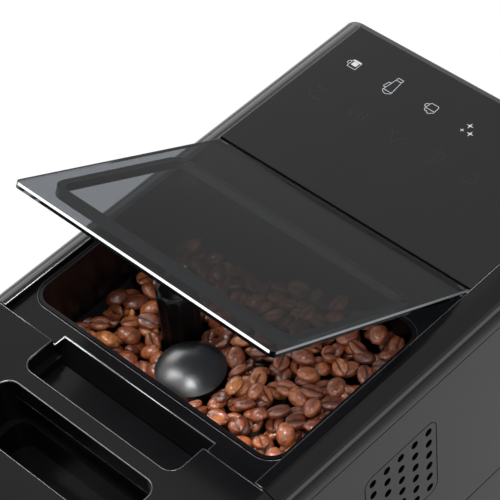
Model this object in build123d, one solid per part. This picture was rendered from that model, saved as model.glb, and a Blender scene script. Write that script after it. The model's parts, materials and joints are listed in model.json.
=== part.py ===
# Bean to cup coffee machine: a compact one-group automatic.
# Millimetres. +Z up, -Y the front that the user faces, origin under the middle of the footprint.
import os
from math import atan2, cos, degrees, hypot, pi, sin

from build123d import *

os.makedirs("parts", exist_ok=True)

# Overall size
WIDTH = 196.8
DEPTH = 430.0
HEIGHT = 320.0
TRAY_REACH = 45.0
SHELL = 2.5
SEAM = 0.6
CUT = 1.0
MIDDLE_SHARE = 0.5

HALF = WIDTH / 2
FRONT = -DEPTH / 2 + TRAY_REACH
TRAY_FRONT = -DEPTH / 2
REAR = DEPTH / 2

# Top: one flat plane with a recessed deck between two rounded shoulders
SHOULDER_R = 13.0
SHOULDER_DROP = 16.2
SHOULDER_WIDTH = 15.4
OPENING_SHIFT = 1.6
STEP = 4.0
FASCIA_THICK = 4.0
PANEL_LENGTH = 108.2
TOP_LENGTH = 150.3
LID_REAR_GAP = 1.6
DECK_THICK = 2.5

TOP = HEIGHT
LID_LENGTH = TOP_LENGTH - LID_REAR_GAP
DECK = TOP - STEP
SIDE_SEAM_Z = TOP - SHOULDER_DROP
PANEL_FRONT = FRONT + FASCIA_THICK
HINGE_LINE = PANEL_FRONT + PANEL_LENGTH
TOP_SEAM_Y = HINGE_LINE + TOP_LENGTH
OPENING_WIDTH = WIDTH - 2 * SHOULDER_WIDTH
OPEN_X0 = OPENING_SHIFT - OPENING_WIDTH / 2
OPEN_X1 = OPENING_SHIFT + OPENING_WIDTH / 2

# Feet and base
FOOT_HEIGHT = 6.0
FOOT_R = 9.0
FOOT_PEG_R = 3.0
FOOT_INSET = 24.0
FOOT_RECESS = 3.0
BASE_THICK = 4.0
BASE_Z = FOOT_HEIGHT
BASE_TOP = BASE_Z + BASE_THICK

# Bean hopper: y values are counted back from the hinge line
HOPPER_WALL = 2.0
HOPPER_SIDE_GAP = 1.0
HOPPER_FRONT = 31.0
HOPPER_SEAM_INSET = 13.5
HOPPER_DEPTH = 66.0
HOPPER_CORNER_R = 12.0
INLET_X = 32.6
INLET_BEHIND_MIDDLE = 2.1
INLET_R = 15.0

# Grinding setting knob in the hopper
KNOB_X = 0.6
KNOB_REAR_INSET = 26.8
KNOB_R = 17.6
KNOB_TOP_DEPTH = 14.0
KNOB_RISE = 6.5
KNOB_SKIRT = 4.0
SHAFT_R = 3.0
SHAFT_FIT = 0.06
RUN_GAP = 0.3

HOPPER_REAR = TOP_LENGTH - HOPPER_SEAM_INSET
INLET_Y = (HOPPER_FRONT + HOPPER_REAR) / 2 + INLET_BEHIND_MIDDLE
KNOB_Y = HOPPER_REAR - KNOB_REAR_INSET

# Finger channel across the seam, and the grip pocket behind it
CHANNEL_HALF = 50.0
CHANNEL_APRON = 6.8
CHANNEL_REAR_SHARE = 0.1657
CHANNEL_DEPTH = 14.2
CHANNEL_R = 6.5
CHANNEL_LEDGE = 4.0
CHANNEL_LEDGE_DEPTH = 9.0
POCKET_FRONT_SHARE = 0.24
POCKET_REAR_SHARE = 0.4955
POCKET_R_SHARE = 0.2236
BAR_HEIGHT = 12.4
POCKET_LEDGE_DEPTH = 28.0
POCKET_WELL_DEPTH = 46.0
POCKET_WELL_INSET = 4.0

COVER_LENGTH = REAR - TOP_SEAM_Y
CHANNEL_FRONT = TOP_LENGTH - CHANNEL_APRON
CHANNEL_REAR = TOP_LENGTH + COVER_LENGTH * CHANNEL_REAR_SHARE
POCKET_FRONT = TOP_LENGTH + COVER_LENGTH * POCKET_FRONT_SHARE
POCKET_REAR = TOP_LENGTH + COVER_LENGTH * POCKET_REAR_SHARE
POCKET_R = (POCKET_REAR - POCKET_FRONT) * POCKET_R_SHARE

# Tank bay at the back
TANK_WALL = 2.4
TANK_SIDE_GAP = 2.0
TANK_FLOOR_Z = 112.0
SHELF_THICK = 3.0

# Lid: built closed, then turned open about its hinge
LID_THICK = 3.0
LID_SIDE_GAP = 0.7
LID_OPEN = 28.5
LID_CORNER_R = 3.0
PIN_R = 1.0
PIN_DROP = 1.9
PIN_LENGTH = 6.0
RING_FRONT = 36.0
RING_REAR_INSET = 18.0
RING_SIDE_INSET = 5.0
RING_WIDTH = 4.0
RING_HEIGHT = 4.4
RING_R = 10.0

LID_AXIS_Y = HINGE_LINE + LID_THICK / 2
LID_AXIS_Z = TOP - PIN_DROP

# Vent grille in the user's left side
VENT_PITCH_Y = 10.0
VENT_PITCH_Z = 8.6
VENT_COLUMNS = 5
VENT_ROWS = 6
VENT_R = 2.3
VENT_FIRST_Y = 52.2
VENT_FIRST_DROP = 45.0
VENT_MARGIN = 5.6
VENT_FRAME_R = 6.0
VENT_GROOVE = 0.6
BELT_DROP = 126.3
BELT_GROOVE = 0.8


def span(x0, x1, y0, y1, z0, z1):
    """A block between two corners."""
    middle = ((x0 + x1) / 2, (y0 + y1) / 2, (z0 + z1) / 2)
    return Pos(*middle) * Box(abs(x1 - x0), abs(y1 - y0), abs(z1 - z0))


def soft_span(x0, x1, y0, y1, z0, z1, radius):
    """A block between two corners with rounded upright edges."""
    block = span(x0, x1, y0, y1, z0, z1)
    return fillet(block.edges().filter_by(Axis.Z), radius)


def rod(x, y, z0, z1, radius):
    """An upright cylinder."""
    return Pos(x, y, (z0 + z1) / 2) * Cylinder(radius, abs(z1 - z0))


def rod_x(x0, x1, y, z, radius):
    """A cylinder along X."""
    return Pos((x0 + x1) / 2, y, z) * Rot(0, 90, 0) * Cylinder(radius, abs(x1 - x0))


def rod_y(x, y0, y1, z, radius):
    """A cylinder along Y."""
    return Pos(x, (y0 + y1) / 2, z) * Rot(90, 0, 0) * Cylinder(radius, abs(y1 - y0))


def save(piece, name):
    """Writes one node, whose solids stay separate."""
    pieces = [piece] if hasattr(piece, "solids") else piece
    solids = [solid for one in pieces for solid in one.solids()]
    shape = solids[0] if len(solids) == 1 else Compound(children=solids)
    export_step(shape, "parts/" + name + ".step")
    return shape


def back(distance):
    """A place counted back from the hinge line."""
    return HINGE_LINE + distance


def casing(y0, y1, inset=0):
    """The outside of the casing with its rounded shoulders, or a skin inside it."""
    body = span(-HALF + inset, HALF - inset, y0, y1, BASE_TOP, TOP - inset)
    edges = body.edges().filter_by(Axis.Y).group_by(Axis.Z)[-1]
    return fillet(edges, SHOULDER_R - inset)


# Outer casing
SIDE_GAP = 0.4
FRAME_GAP = 0.9
DOOR_FRONT = -46.2
DOOR_REAR = 65.8
BAY_SIDE = 26.4
BAY_HALF = HALF - BAY_SIDE
BAY_TOP = 214.0
BAY_R = 10.0
SLOT_HALF = 28.5
SLOT_TOP = 241.0
DOOR_FRONT_Y = back(DOOR_FRONT)
DOOR_REAR_Y = back(DOOR_REAR)
DOOR_BOTTOM_Z = 62.0
DOOR_TOP_Z = 246.0
DOOR_R = 6.0
DOOR_GAP = 0.8
REAR_VENTS = 9
REAR_VENT_WIDTH = 3.2
REAR_VENT_HEIGHT = 34.0
REAR_VENT_PITCH = 7.0
REAR_VENT_INSET = 40.9
REAR_VENT_Z = 66.0

SIDE_X = HALF - SHELL
REAR_VENT_X = SIDE_X - REAR_VENT_INSET
TRAY_TOP = 58.0
TRAY_GAP = 0.8


def vent_places():
    """Centres of the grille's holes on the user's left side, as y and z."""
    for column in range(VENT_COLUMNS):
        for row in range(VENT_ROWS):
            yield back(VENT_FIRST_Y + column * VENT_PITCH_Y), TOP - VENT_FIRST_DROP - row * VENT_PITCH_Z


def side_skin(sign):
    """One side panel's sheet, from the base to the shoulder's seam."""
    inner = sign * SIDE_X
    sheet = span(inner, sign * HALF, FRONT + FASCIA_THICK + SIDE_GAP, REAR, BASE_TOP, SIDE_SEAM_Z)
    return sheet


def side_panel_left():
    """The user's left side: perforated grille in a shallow framed field, and a belt line."""
    panel = side_skin(-1)
    y_mid = back(VENT_FIRST_Y + (VENT_COLUMNS - 1) * VENT_PITCH_Y / 2)
    z_mid = TOP - VENT_FIRST_DROP - (VENT_ROWS - 1) * VENT_PITCH_Z / 2
    length = (VENT_COLUMNS - 1) * VENT_PITCH_Y + 2 * VENT_MARGIN
    height = (VENT_ROWS - 1) * VENT_PITCH_Z + 2 * VENT_MARGIN
    field = RectangleRounded(length + VENT_GROOVE, height + VENT_GROOVE, VENT_FRAME_R)
    field -= RectangleRounded(length - VENT_GROOVE, height - VENT_GROOVE, VENT_FRAME_R - VENT_GROOVE)
    face = Plane(origin=(-HALF, y_mid, z_mid), x_dir=(0, -1, 0), z_dir=(-1, 0, 0))
    panel -= extrude(face * field, -VENT_GROOVE)
    holes = [rod_x(-HALF - CUT, -SIDE_X + CUT, y, z, VENT_R) for y, z in vent_places()]
    panel -= holes
    belt_z = TOP - BELT_DROP
    panel -= span(
        -HALF - CUT, -HALF + BELT_GROOVE, FRONT, REAR,
        belt_z - BELT_GROOVE / 2, belt_z + BELT_GROOVE / 2,
    )
    return panel


def side_panel_right():
    """The user's right side, with the opening that the brew unit leaves through."""
    panel = side_skin(1)
    panel -= door_span(SIDE_X - CUT, HALF + CUT, 0)
    x, y = door_axis()
    panel -= rod(
        x, y, DOOR_BOTTOM_Z - DOOR_PIN - CUT, DOOR_TOP_Z + DOOR_PIN + CUT, DOOR_PIN_R + SHAFT_FIT,
    )
    return panel


def door_span(x0, x1, inset):
    """The door's outline, rounded at its free edge and square at its hinge edge."""
    block = span(
        x0, x1, DOOR_FRONT_Y + inset, DOOR_REAR_Y - inset, DOOR_BOTTOM_Z + inset, DOOR_TOP_Z - inset,
    )
    free = block.edges().filter_by(Axis.X).group_by(Axis.Y)[0]
    return fillet(free, DOOR_R - inset)


def soft_span_x(x0, x1, y0, y1, z0, z1, radius):
    """A block between two corners with its edges along X rounded."""
    block = span(x0, x1, y0, y1, z0, z1)
    return fillet(block.edges().filter_by(Axis.X), radius)


def soft_span_y(x0, x1, y0, y1, z0, z1, radius):
    """A block between two corners with its edges along Y rounded."""
    block = span(x0, x1, y0, y1, z0, z1)
    return fillet(block.edges().filter_by(Axis.Y), radius)


def front_fascia():
    """The front face with the cup bay's opening and the slot that the spout slides in."""
    plate = casing(FRONT, PANEL_FRONT)
    rim = plate.edges().group_by(Axis.Y)[0]
    rounded = [edge for edge in rim if edge.center().Z > TRAY_TOP]
    plate = fillet(rounded, FASCIA_THICK * FASCIA_EDGE_SHARE)
    plate -= soft_span_y(
        -BAY_HALF, BAY_HALF, FRONT - CUT, PANEL_FRONT + CUT, TRAY_TOP - 2 * BAY_R, BAY_TOP, BAY_R,
    )
    pan_half = TRAY_HALF + TRAY_GAP
    plate -= span(-pan_half, pan_half, FRONT - CUT, PANEL_FRONT + CUT, BASE_Z, TRAY_TOP + TRAY_GAP)
    plate -= soft_span_y(
        -SLOT_HALF, SLOT_HALF, FRONT - CUT, PANEL_FRONT + CUT, BAY_TOP - BAY_R, SLOT_TOP, SLOT_R,
    )
    return plate


FASCIA_EDGE_SHARE = 0.6
SLOT_R = 5.0


def top_housing():
    """Shoulders and recessed deck: holds the panel, the hopper and the front half of the channel."""
    y1 = TOP_SEAM_Y - SEAM / 2
    outer = casing(PANEL_FRONT, y1)
    outer -= casing(PANEL_FRONT - CUT, y1 + CUT, inset=SHELL)
    outer -= span(-HALF - CUT, HALF + CUT, PANEL_FRONT - CUT, y1 + CUT, BASE_Z, SIDE_SEAM_Z + SEAM)
    deck = span(OPEN_X0 - SHELL, OPEN_X1 + SHELL, PANEL_FRONT, y1, DECK - DECK_THICK, TOP - SHELL)
    outer += deck
    outer -= span(OPEN_X0, OPEN_X1, PANEL_FRONT - CUT, y1 + CUT, DECK, TOP + CUT)
    outer += span(OPEN_X0, OPEN_X1, PANEL_FRONT, PANEL_FRONT + SHELL, DECK - DECK_THICK, DECK)
    outer -= hopper_hole()
    ramp_depth = CHANNEL_DEPTH - STEP
    ramp = Plane(origin=(-CHANNEL_HALF, 0, 0), x_dir=(0, 1, 0), z_dir=(1, 0, 0)) * make_face(
        Polyline(
            (back(CHANNEL_FRONT), DECK),
            (y1 + CUT, DECK - ramp_depth * RAMP_OVERRUN_SHARE),
            (y1 + CUT, TOP + CUT),
            (back(CHANNEL_FRONT), TOP + CUT),
            close=True,
        )
    )
    scoop = extrude(ramp, 2 * CHANNEL_HALF)
    skin = Plane(origin=(-CHANNEL_HALF - DECK_THICK, 0, 0), x_dir=(0, 1, 0), z_dir=(1, 0, 0)) * make_face(
        Polyline(
            (back(CHANNEL_FRONT) - DECK_THICK, DECK),
            (back(CHANNEL_FRONT) - DECK_THICK, DECK - DECK_THICK),
            (y1 - RAMP_FOOT, DECK - ramp_depth - DECK_THICK),
            (y1, DECK - ramp_depth - DECK_THICK),
            (y1, DECK),
            close=True,
        )
    )
    outer += extrude(skin, 2 * (CHANNEL_HALF + DECK_THICK))
    outer -= scoop
    outer -= rod_x(OPEN_X0 - PIN_LENGTH, OPEN_X1 + PIN_LENGTH, LID_AXIS_Y, LID_AXIS_Z, PIN_R + SHAFT_FIT)
    return outer


RAMP_OVERRUN_SHARE = 1.16
RAMP_FOOT = 1.5


def hopper_hole():
    """The hole in the deck that the bean hopper drops through."""
    return soft_span(
        OPEN_X0 + HOPPER_SIDE_GAP, OPEN_X1 - HOPPER_SIDE_GAP,
        back(HOPPER_FRONT), back(HOPPER_REAR),
        DECK - DECK_THICK - CUT, DECK + CUT, HOPPER_CORNER_R,
    )


def rear_cover():
    """The tank's cover, with the channel's back half, the grip bar and the deep pocket."""
    y0 = TOP_SEAM_Y + SEAM / 2
    cover = casing(y0, REAR)
    cover = fillet(
        [e for e in cover.edges().group_by(Axis.Y)[-1] if e.center().Z > SIDE_SEAM_Z], COVER_EDGE_R,
    )
    hollow = casing(y0 + SHELL, REAR - SHELL, inset=SHELL)
    cover -= hollow
    cover -= span(-HALF - CUT, HALF + CUT, y0 - CUT, REAR + CUT, BASE_Z, SIDE_SEAM_Z + SEAM)
    channel_floor = TOP - CHANNEL_DEPTH
    cover += span(
        -CHANNEL_HALF - SHELL, CHANNEL_HALF + SHELL, y0, back(POCKET_FRONT),
        channel_floor - SHELL, TOP - SHELL,
    )
    cover += soft_span(
        -CHANNEL_HALF - SHELL, CHANNEL_HALF + SHELL,
        back(POCKET_FRONT) - SHELL, back(POCKET_REAR) + SHELL,
        TOP - POCKET_WELL_DEPTH - SHELL, TOP - SHELL, POCKET_R + SHELL,
    )
    grip_half = CHANNEL_HALF - POCKET_WELL_INSET
    cover += span(
        -CHANNEL_HALF - SHELL, CHANNEL_HALF + SHELL, back(CHANNEL_REAR), back(POCKET_FRONT),
        TOP - POCKET_LEDGE_DEPTH - SHELL, TOP - SHELL,
    )
    channel = soft_span(
        -CHANNEL_HALF, CHANNEL_HALF, y0 - 2 * CHANNEL_R, back(CHANNEL_REAR),
        channel_floor, TOP + CUT, CHANNEL_R,
    )
    floor_edges = channel.edges().group_by(Axis.Z)[0]
    channel = fillet(floor_edges, CHANNEL_R * CHANNEL_FLOOR_SHARE)
    cover -= channel
    cover += span(
        CHANNEL_HALF - CHANNEL_LEDGE, CHANNEL_HALF, y0, back(CHANNEL_REAR),
        channel_floor, TOP - CHANNEL_LEDGE_DEPTH,
    )
    cover -= soft_span(
        -CHANNEL_HALF, CHANNEL_HALF, back(POCKET_FRONT), back(POCKET_REAR),
        TOP - POCKET_LEDGE_DEPTH, TOP + CUT, POCKET_R,
    )
    cover -= soft_span(
        -CHANNEL_HALF + POCKET_WELL_INSET, CHANNEL_HALF - POCKET_WELL_INSET,
        back(POCKET_FRONT), back(POCKET_REAR),
        TOP - POCKET_WELL_DEPTH, TOP + CUT, POCKET_R,
    )
    cover -= span(
        -grip_half, grip_half, back(CHANNEL_REAR) + SHELL, back(POCKET_FRONT) + CUT,
        TOP - POCKET_LEDGE_DEPTH, TOP - BAR_HEIGHT,
    )
    rib = TANK_HALF - TANK_WALL
    y1 = TANK_Y1
    for x in (-TANK_HALF, rib):
        cover += span(x, x + TANK_WALL, TANK_Y0 + TANK_R, y1 - TANK_R, TANK_RIM_Z, TOP - COVER_RIB_DROP)
    cover += span(
        -TANK_HALF + TANK_R, TANK_HALF - TANK_R, y1 - TANK_WALL, y1, TANK_RIM_Z, TOP - COVER_RIB_DROP,
    )
    return cover


COVER_RIB_DROP = 3.0
COVER_EDGE_R = 8.0
CHANNEL_FLOOR_SHARE = 0.7


def rear_panel():
    """The lower back, below the tank, with louvres and the power inlet's cut-out."""
    panel = span(
        -SIDE_X + SIDE_GAP, SIDE_X - SIDE_GAP, REAR - SHELL, REAR, BASE_TOP, TANK_FLOOR_Z - SHELF_THICK,
    )
    first = REAR_VENT_X - (REAR_VENTS - 1) * REAR_VENT_PITCH / 2
    slots = [
        span(
            first + i * REAR_VENT_PITCH - REAR_VENT_WIDTH / 2,
            first + i * REAR_VENT_PITCH + REAR_VENT_WIDTH / 2,
            REAR - SHELL - CUT, REAR + CUT,
            REAR_VENT_Z - REAR_VENT_HEIGHT / 2, REAR_VENT_Z + REAR_VENT_HEIGHT / 2,
        )
        for i in range(REAR_VENTS)
    ]
    panel -= slots
    panel -= span(
        INLET_BLOCK_X - PORT_HALF_X + SHELL, INLET_BLOCK_X + PORT_HALF_X - SHELL,
        REAR - SHELL - CUT, REAR + CUT,
        PORT_Z - PORT_HALF_Z + SHELL, PORT_Z + PORT_HALF_Z - SHELL,
    )
    panel -= span(
        SWITCH_X - SWITCH_HALF_X + CUT, SWITCH_X + SWITCH_HALF_X - CUT, REAR - SHELL - CUT, REAR + CUT,
        PORT_Z - SWITCH_HALF_Z + CUT, PORT_Z + SWITCH_HALF_Z - CUT,
    )
    return panel


# Bean hopper, its guard, knob and beans
TUB_FIT = 0.3
TUB_PROUD = 0.3
FLANGE_OUT = 4.0
FLANGE_THICK = 2.0
KNEE_RISE = 26.0
FUNNEL_HALF = 19.0
FUNNEL_R = 6.0
BOSS_R = 6.0
GUARD_R = 12.0
GUARD_TOP_DEPTH = 6.5
GUARD_WALL = 2.0
GUARD_WINDOW = 9.0
GUARD_WINDOW_HEIGHT = 16.0
GUARD_RIBS = 8
GUARD_RIB_R = 1.2
BEAN_GAP = 0.3
BEAN_HIGH_DEPTH = 9.6
BEAN_LOW_DEPTH = 41.0
BEAN_KNOB_DEPTH = 24.0
BEAN_POST_DEPTH = 38.0

INLET_CY = back(INLET_Y)
KNOB_CY = back(KNOB_Y)
TUB_X0 = OPEN_X0 + HOPPER_SIDE_GAP + TUB_FIT
TUB_X1 = OPEN_X1 - HOPPER_SIDE_GAP - TUB_FIT
TUB_Y0 = back(HOPPER_FRONT) + TUB_FIT
TUB_Y1 = back(HOPPER_REAR) - TUB_FIT
TUB_BOTTOM = DECK - HOPPER_DEPTH


def tub_form(inset, top, floor, mouth_half):
    """The hopper's inside or outside: straight walls, then four slopes to the grinder's inlet."""
    x0, x1, y0, y1 = TUB_X0 + inset, TUB_X1 - inset, TUB_Y0 + inset, TUB_Y1 - inset
    corner = HOPPER_CORNER_R - TUB_FIT - inset
    knee = floor + KNEE_RISE
    straight = soft_span(x0, x1, y0, y1, knee, top, corner)
    upper = Pos((x0 + x1) / 2, (y0 + y1) / 2, knee) * RectangleRounded(x1 - x0, y1 - y0, corner)
    lower = Pos(INLET_X, INLET_CY, floor) * RectangleRounded(2 * mouth_half, 2 * mouth_half, FUNNEL_R)
    return straight + loft([lower, upper], ruled=True)


def hopper_tub():
    """Smoked tub with a hanging flange, a funnel floor and the boss for the knob's shaft."""
    throat = GEAR_Z1 + RUN_GAP
    tub = tub_form(0, DECK + TUB_PROUD, TUB_BOTTOM, FUNNEL_HALF + HOPPER_WALL)
    tub += rod(INLET_X, INLET_CY, throat, TUB_BOTTOM, INLET_R + HOPPER_WALL)
    flange_top = DECK - DECK_THICK - SIDE_GAP / 2
    tub += soft_span(
        TUB_X0 - FLANGE_OUT, TUB_X1 + FLANGE_OUT, TUB_Y0 - FLANGE_OUT, TUB_Y1 + TUB_FIT,
        flange_top - FLANGE_THICK, flange_top, FLANGE_OUT,
    )
    tub -= tub_form(HOPPER_WALL, DECK + CUT, TUB_BOTTOM + HOPPER_WALL, FUNNEL_HALF)
    tub -= rod(INLET_X, INLET_CY, throat - CUT, TUB_BOTTOM + HOPPER_WALL + CUT, INLET_R)
    boss_top = TOP - KNOB_TOP_DEPTH - KNOB_RISE - KNOB_SKIRT - RUN_GAP
    tub += rod(KNOB_X, KNOB_CY, BOSS_BOTTOM, boss_top, BOSS_R)
    tub -= rod(KNOB_X, KNOB_CY, BOSS_BOTTOM - CUT, boss_top + CUT, SHAFT_R + SHAFT_FIT)
    return tub


BOSS_BOTTOM = 251.0


def inlet_guard():
    """Ribbed post over the inlet that keeps fingers out of the burrs and lets beans in below."""
    foot = TUB_BOTTOM + HOPPER_WALL + GUARD_FOOT_RISE
    top = TOP - GUARD_TOP_DEPTH
    post = rod(INLET_X, INLET_CY, foot, top, GUARD_R)
    post = fillet(post.edges().group_by(Axis.Z)[-1], GUARD_WALL / 2)
    post += rod(INLET_X, INLET_CY, foot, foot + GUARD_FLANGE, GUARD_FLANGE_R)
    post -= rod(INLET_X, INLET_CY, foot - CUT, top - GUARD_WALL, GUARD_R - GUARD_WALL)
    for angle in (0, 90):
        window = Pos(INLET_X, INLET_CY, foot + GUARD_WINDOW_HEIGHT / 2 + GUARD_RING) * Rot(0, 0, angle)
        post -= window * Box(4 * GUARD_R, GUARD_WINDOW, GUARD_WINDOW_HEIGHT)
    rib_foot = foot + GUARD_WINDOW_HEIGHT + 2 * GUARD_RING
    ribs = [
        rod(
            INLET_X + GUARD_R * cos(2 * pi * i / GUARD_RIBS),
            INLET_CY + GUARD_R * sin(2 * pi * i / GUARD_RIBS),
            rib_foot, top - GUARD_WALL, GUARD_RIB_R,
        )
        for i in range(GUARD_RIBS)
    ]
    post += ribs
    return post


GUARD_FOOT_RISE = 0.1
GUARD_FLANGE = 2.0
GUARD_FLANGE_R = 17.5
GUARD_RING = 3.0


def knob_profile_solid(rise, radius, rim_z, skirt):
    """A shallow dome over a short skirt, turned about the knob's own axis."""
    ball = (radius * radius + rise * rise) / (2 * rise)
    dome = Pos(KNOB_X, KNOB_CY, rim_z + rise - ball) * Sphere(ball)
    dome &= rod(KNOB_X, KNOB_CY, rim_z, rim_z + rise + CUT, radius)
    return dome + rod(KNOB_X, KNOB_CY, rim_z - skirt, rim_z, radius)


def grind_knob():
    """Domed knob that sets the grind."""
    rim = TOP - KNOB_TOP_DEPTH - KNOB_RISE
    knob = knob_profile_solid(KNOB_RISE, KNOB_R, rim, KNOB_SKIRT)
    hollow = rod(
        KNOB_X, KNOB_CY, rim - KNOB_SKIRT - CUT, rim - KNOB_SKIRT + KNOB_HOLLOW, KNOB_R - HOPPER_WALL,
    )
    knob -= hollow - rod(KNOB_X, KNOB_CY, rim - KNOB_SKIRT, rim, BOSS_R)
    knob -= rod(KNOB_X, KNOB_CY, rim - KNOB_SKIRT - CUT, rim, SHAFT_R)
    return knob


KNOB_HOLLOW = 2.5


def coffee_beans():
    """The heap of beans as one solid: high at the user's left, low at the right, clear of knob and post."""
    inset = HOPPER_WALL + BEAN_GAP
    floor = TUB_BOTTOM + HOPPER_WALL + GUARD_FLANGE + 2 * BEAN_GAP
    heap = tub_form(inset, TOP - BEAN_HIGH_DEPTH, floor, FUNNEL_HALF)
    x0, x1 = TUB_X0, TUB_X1
    top_line = Spline(
        (x0 - CUT, TOP - BEAN_HIGH_DEPTH),
        (x0 + (x1 - x0) * BEAN_SHOULDER_SHARE, TOP - BEAN_HIGH_DEPTH - BEAN_DROP),
        (KNOB_X, TOP - BEAN_KNOB_DEPTH),
        (INLET_X, TOP - BEAN_POST_DEPTH),
        (x1 + CUT, TOP - BEAN_LOW_DEPTH),
    )
    sky = top_line + Polyline(
        (x1 + CUT, TOP - BEAN_LOW_DEPTH),
        (x1 + CUT, TOP),
        (x0 - CUT, TOP),
        (x0 - CUT, TOP - BEAN_HIGH_DEPTH),
    )
    plane = Plane(origin=(0, TUB_Y1 + CUT, 0), x_dir=(1, 0, 0), z_dir=(0, -1, 0))
    heap -= extrude(plane * make_face(sky), TUB_Y1 - TUB_Y0 + 2 * CUT)
    heap -= rod(KNOB_X, KNOB_CY, TUB_BOTTOM, TOP, KNOB_R + BEAN_GAP)
    heap -= rod(INLET_X, INLET_CY, TUB_BOTTOM, TOP, GUARD_R + BEAN_SLUMP)
    return heap


BEAN_SLUMP = 4.0
BEAN_DROP = 3.0
BEAN_SHOULDER_SHARE = 0.3


# Lid: smoked plate, closing frame below it, and two hinge pins
def opened(piece):
    """Turns a piece of the lid from closed to its open rest place."""
    axis = Axis((0, LID_AXIS_Y, LID_AXIS_Z), (1, 0, 0))
    return piece.rotate(axis, LID_OPEN)


LID_X0 = OPEN_X0 + LID_SIDE_GAP
LID_X1 = OPEN_X1 - LID_SIDE_GAP
LID_BOTTOM = TOP - LID_THICK


def lid_plate():
    """The lid's plate with a half-round hinge edge and rounded free corners."""
    plate = span(LID_X0, LID_X1, HINGE_LINE + LID_EDGE_GAP, back(LID_LENGTH), LID_BOTTOM, TOP)
    free = plate.edges().filter_by(Axis.Z).group_by(Axis.Y)[-1]
    plate = fillet(free, LID_CORNER_R)
    front = plate.edges().filter_by(Axis.X).group_by(Axis.Y)[0]
    plate = fillet(front, LID_THICK * LID_ROUND_SHARE)
    plate -= rod_x(LID_X0 - CUT, LID_X0 + PIN_LENGTH, LID_AXIS_Y, LID_AXIS_Z, PIN_R)
    plate -= rod_x(LID_X1 - PIN_LENGTH, LID_X1 + CUT, LID_AXIS_Y, LID_AXIS_Z, PIN_R)
    return plate


LID_EDGE_GAP = 0.2
LID_ROUND_SHARE = 0.45


def lid_frame():
    """The closing frame that drops into the hopper's mouth."""
    x0, x1 = LID_X0 + RING_SIDE_INSET, LID_X1 - RING_SIDE_INSET
    y0, y1 = back(RING_FRONT), back(LID_LENGTH - RING_REAR_INSET)
    z0 = LID_BOTTOM - RING_HEIGHT
    ring = soft_span(x0, x1, y0, y1, z0, LID_BOTTOM, RING_R)
    ring -= soft_span(
        x0 + RING_WIDTH, x1 - RING_WIDTH, y0 + RING_WIDTH, y1 - RING_WIDTH,
        z0 - CUT, LID_BOTTOM + CUT, RING_R - RING_WIDTH,
    )
    return ring


def hinge_pins():
    """One steel pin at each end of the lid's hinge edge."""
    reach = LID_SIDE_GAP + SHELL - SIDE_GAP
    left = rod_x(LID_X0 - reach, LID_X0 + PIN_LENGTH, LID_AXIS_Y, LID_AXIS_Z, PIN_R)
    right = rod_x(LID_X1 - PIN_LENGTH, LID_X1 + reach, LID_AXIS_Y, LID_AXIS_Z, PIN_R)
    return left, right


# Touch panel on the front of the deck, and its board below
PANEL_GAP = 0.2
BOARD_THICK = 1.6
BOARD_MARGIN = 14.0
BOARD_BOSS = 3.0


def touch_panel():
    """Dark glass panel that carries the touch signs."""
    panel = span(
        OPEN_X0 + PANEL_GAP, OPEN_X1 - PANEL_GAP,
        PANEL_FRONT + PANEL_GAP, HINGE_LINE - PANEL_GAP * 2, DECK, TOP,
    )
    return panel


def control_board():
    """Circuit board of the touch panel with its controller and touch pads."""
    top = DECK - DECK_THICK - BOARD_BOSS
    x0, x1 = OPEN_X0 + BOARD_MARGIN, OPEN_X1 - BOARD_MARGIN
    y0, y1 = PANEL_FRONT + BOARD_MARGIN, HINGE_LINE - BOARD_MARGIN
    board = span(x0, x1, y0, y1, top - BOARD_THICK, top)
    for i in range(PAD_COUNT):
        x = x0 + (x1 - x0) * (i + MIDDLE_SHARE) / PAD_COUNT
        board += rod(x, y0 + BOARD_MARGIN, top, top + BOARD_BOSS - PANEL_GAP, PAD_R)
    middle = (x0 + x1) / 2
    board += span(
        middle - CHIP, middle + CHIP, y1 - 3 * CHIP, y1 - CHIP,
        top - BOARD_THICK - CHIP_HEIGHT, top - BOARD_THICK,
    )
    return board


PAD_COUNT = 5
PAD_R = 5.0
CHIP = 8.0
CHIP_HEIGHT = 2.0


# Base, feet and chassis
CORNER_R = 6.0
MID_Z = 114.0
MID_THICK = 3.0
BULK_SEAM_INSET = 7.5
BULK_THICK = 3.0
BAY_BACK = -40.2
BAY_WALL = 2.0
POST_SIDE = 12.0

BULK = TOP_LENGTH - BULK_SEAM_INSET
BULK_Y = back(BULK)
BAY_BACK_Y = back(BAY_BACK)
FRAME_X = SIDE_X - FRAME_GAP


def base_plate():
    """Moulded floor from the tray's front to the back, with a lip and holes for the feet."""
    base = span(-HALF, HALF, TRAY_FRONT + BASE_INSET, REAR, BASE_Z, BASE_TOP)
    base = fillet(base.edges().filter_by(Axis.Z), CORNER_R)
    base -= [rod(x, y, BASE_Z - CUT, BASE_TOP + CUT, FOOT_PEG_R + SHAFT_FIT) for x, y in foot_places()]
    return base


BASE_INSET = 2.0


def foot_places():
    """The four feet's centres."""
    for x in (-HALF + FOOT_INSET, HALF - FOOT_INSET):
        for y in (TRAY_FRONT + FOOT_INSET, REAR - FOOT_INSET):
            yield x, y


def rubber_feet():
    """Four rubber feet, each with a peg that plugs into the base."""
    feet = []
    for x, y in foot_places():
        pad = rod(x, y, 0, BASE_Z, FOOT_R)
        pad = chamfer(pad.edges().group_by(Axis.Z)[0], FOOT_BEVEL)
        pad -= rod(x, y, -CUT, FOOT_BEVEL, FOOT_R - FOOT_RECESS)
        feet.append(pad + rod(x, y, BASE_Z, BASE_TOP, FOOT_PEG_R))
    return feet


FOOT_BEVEL = 1.2


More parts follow.
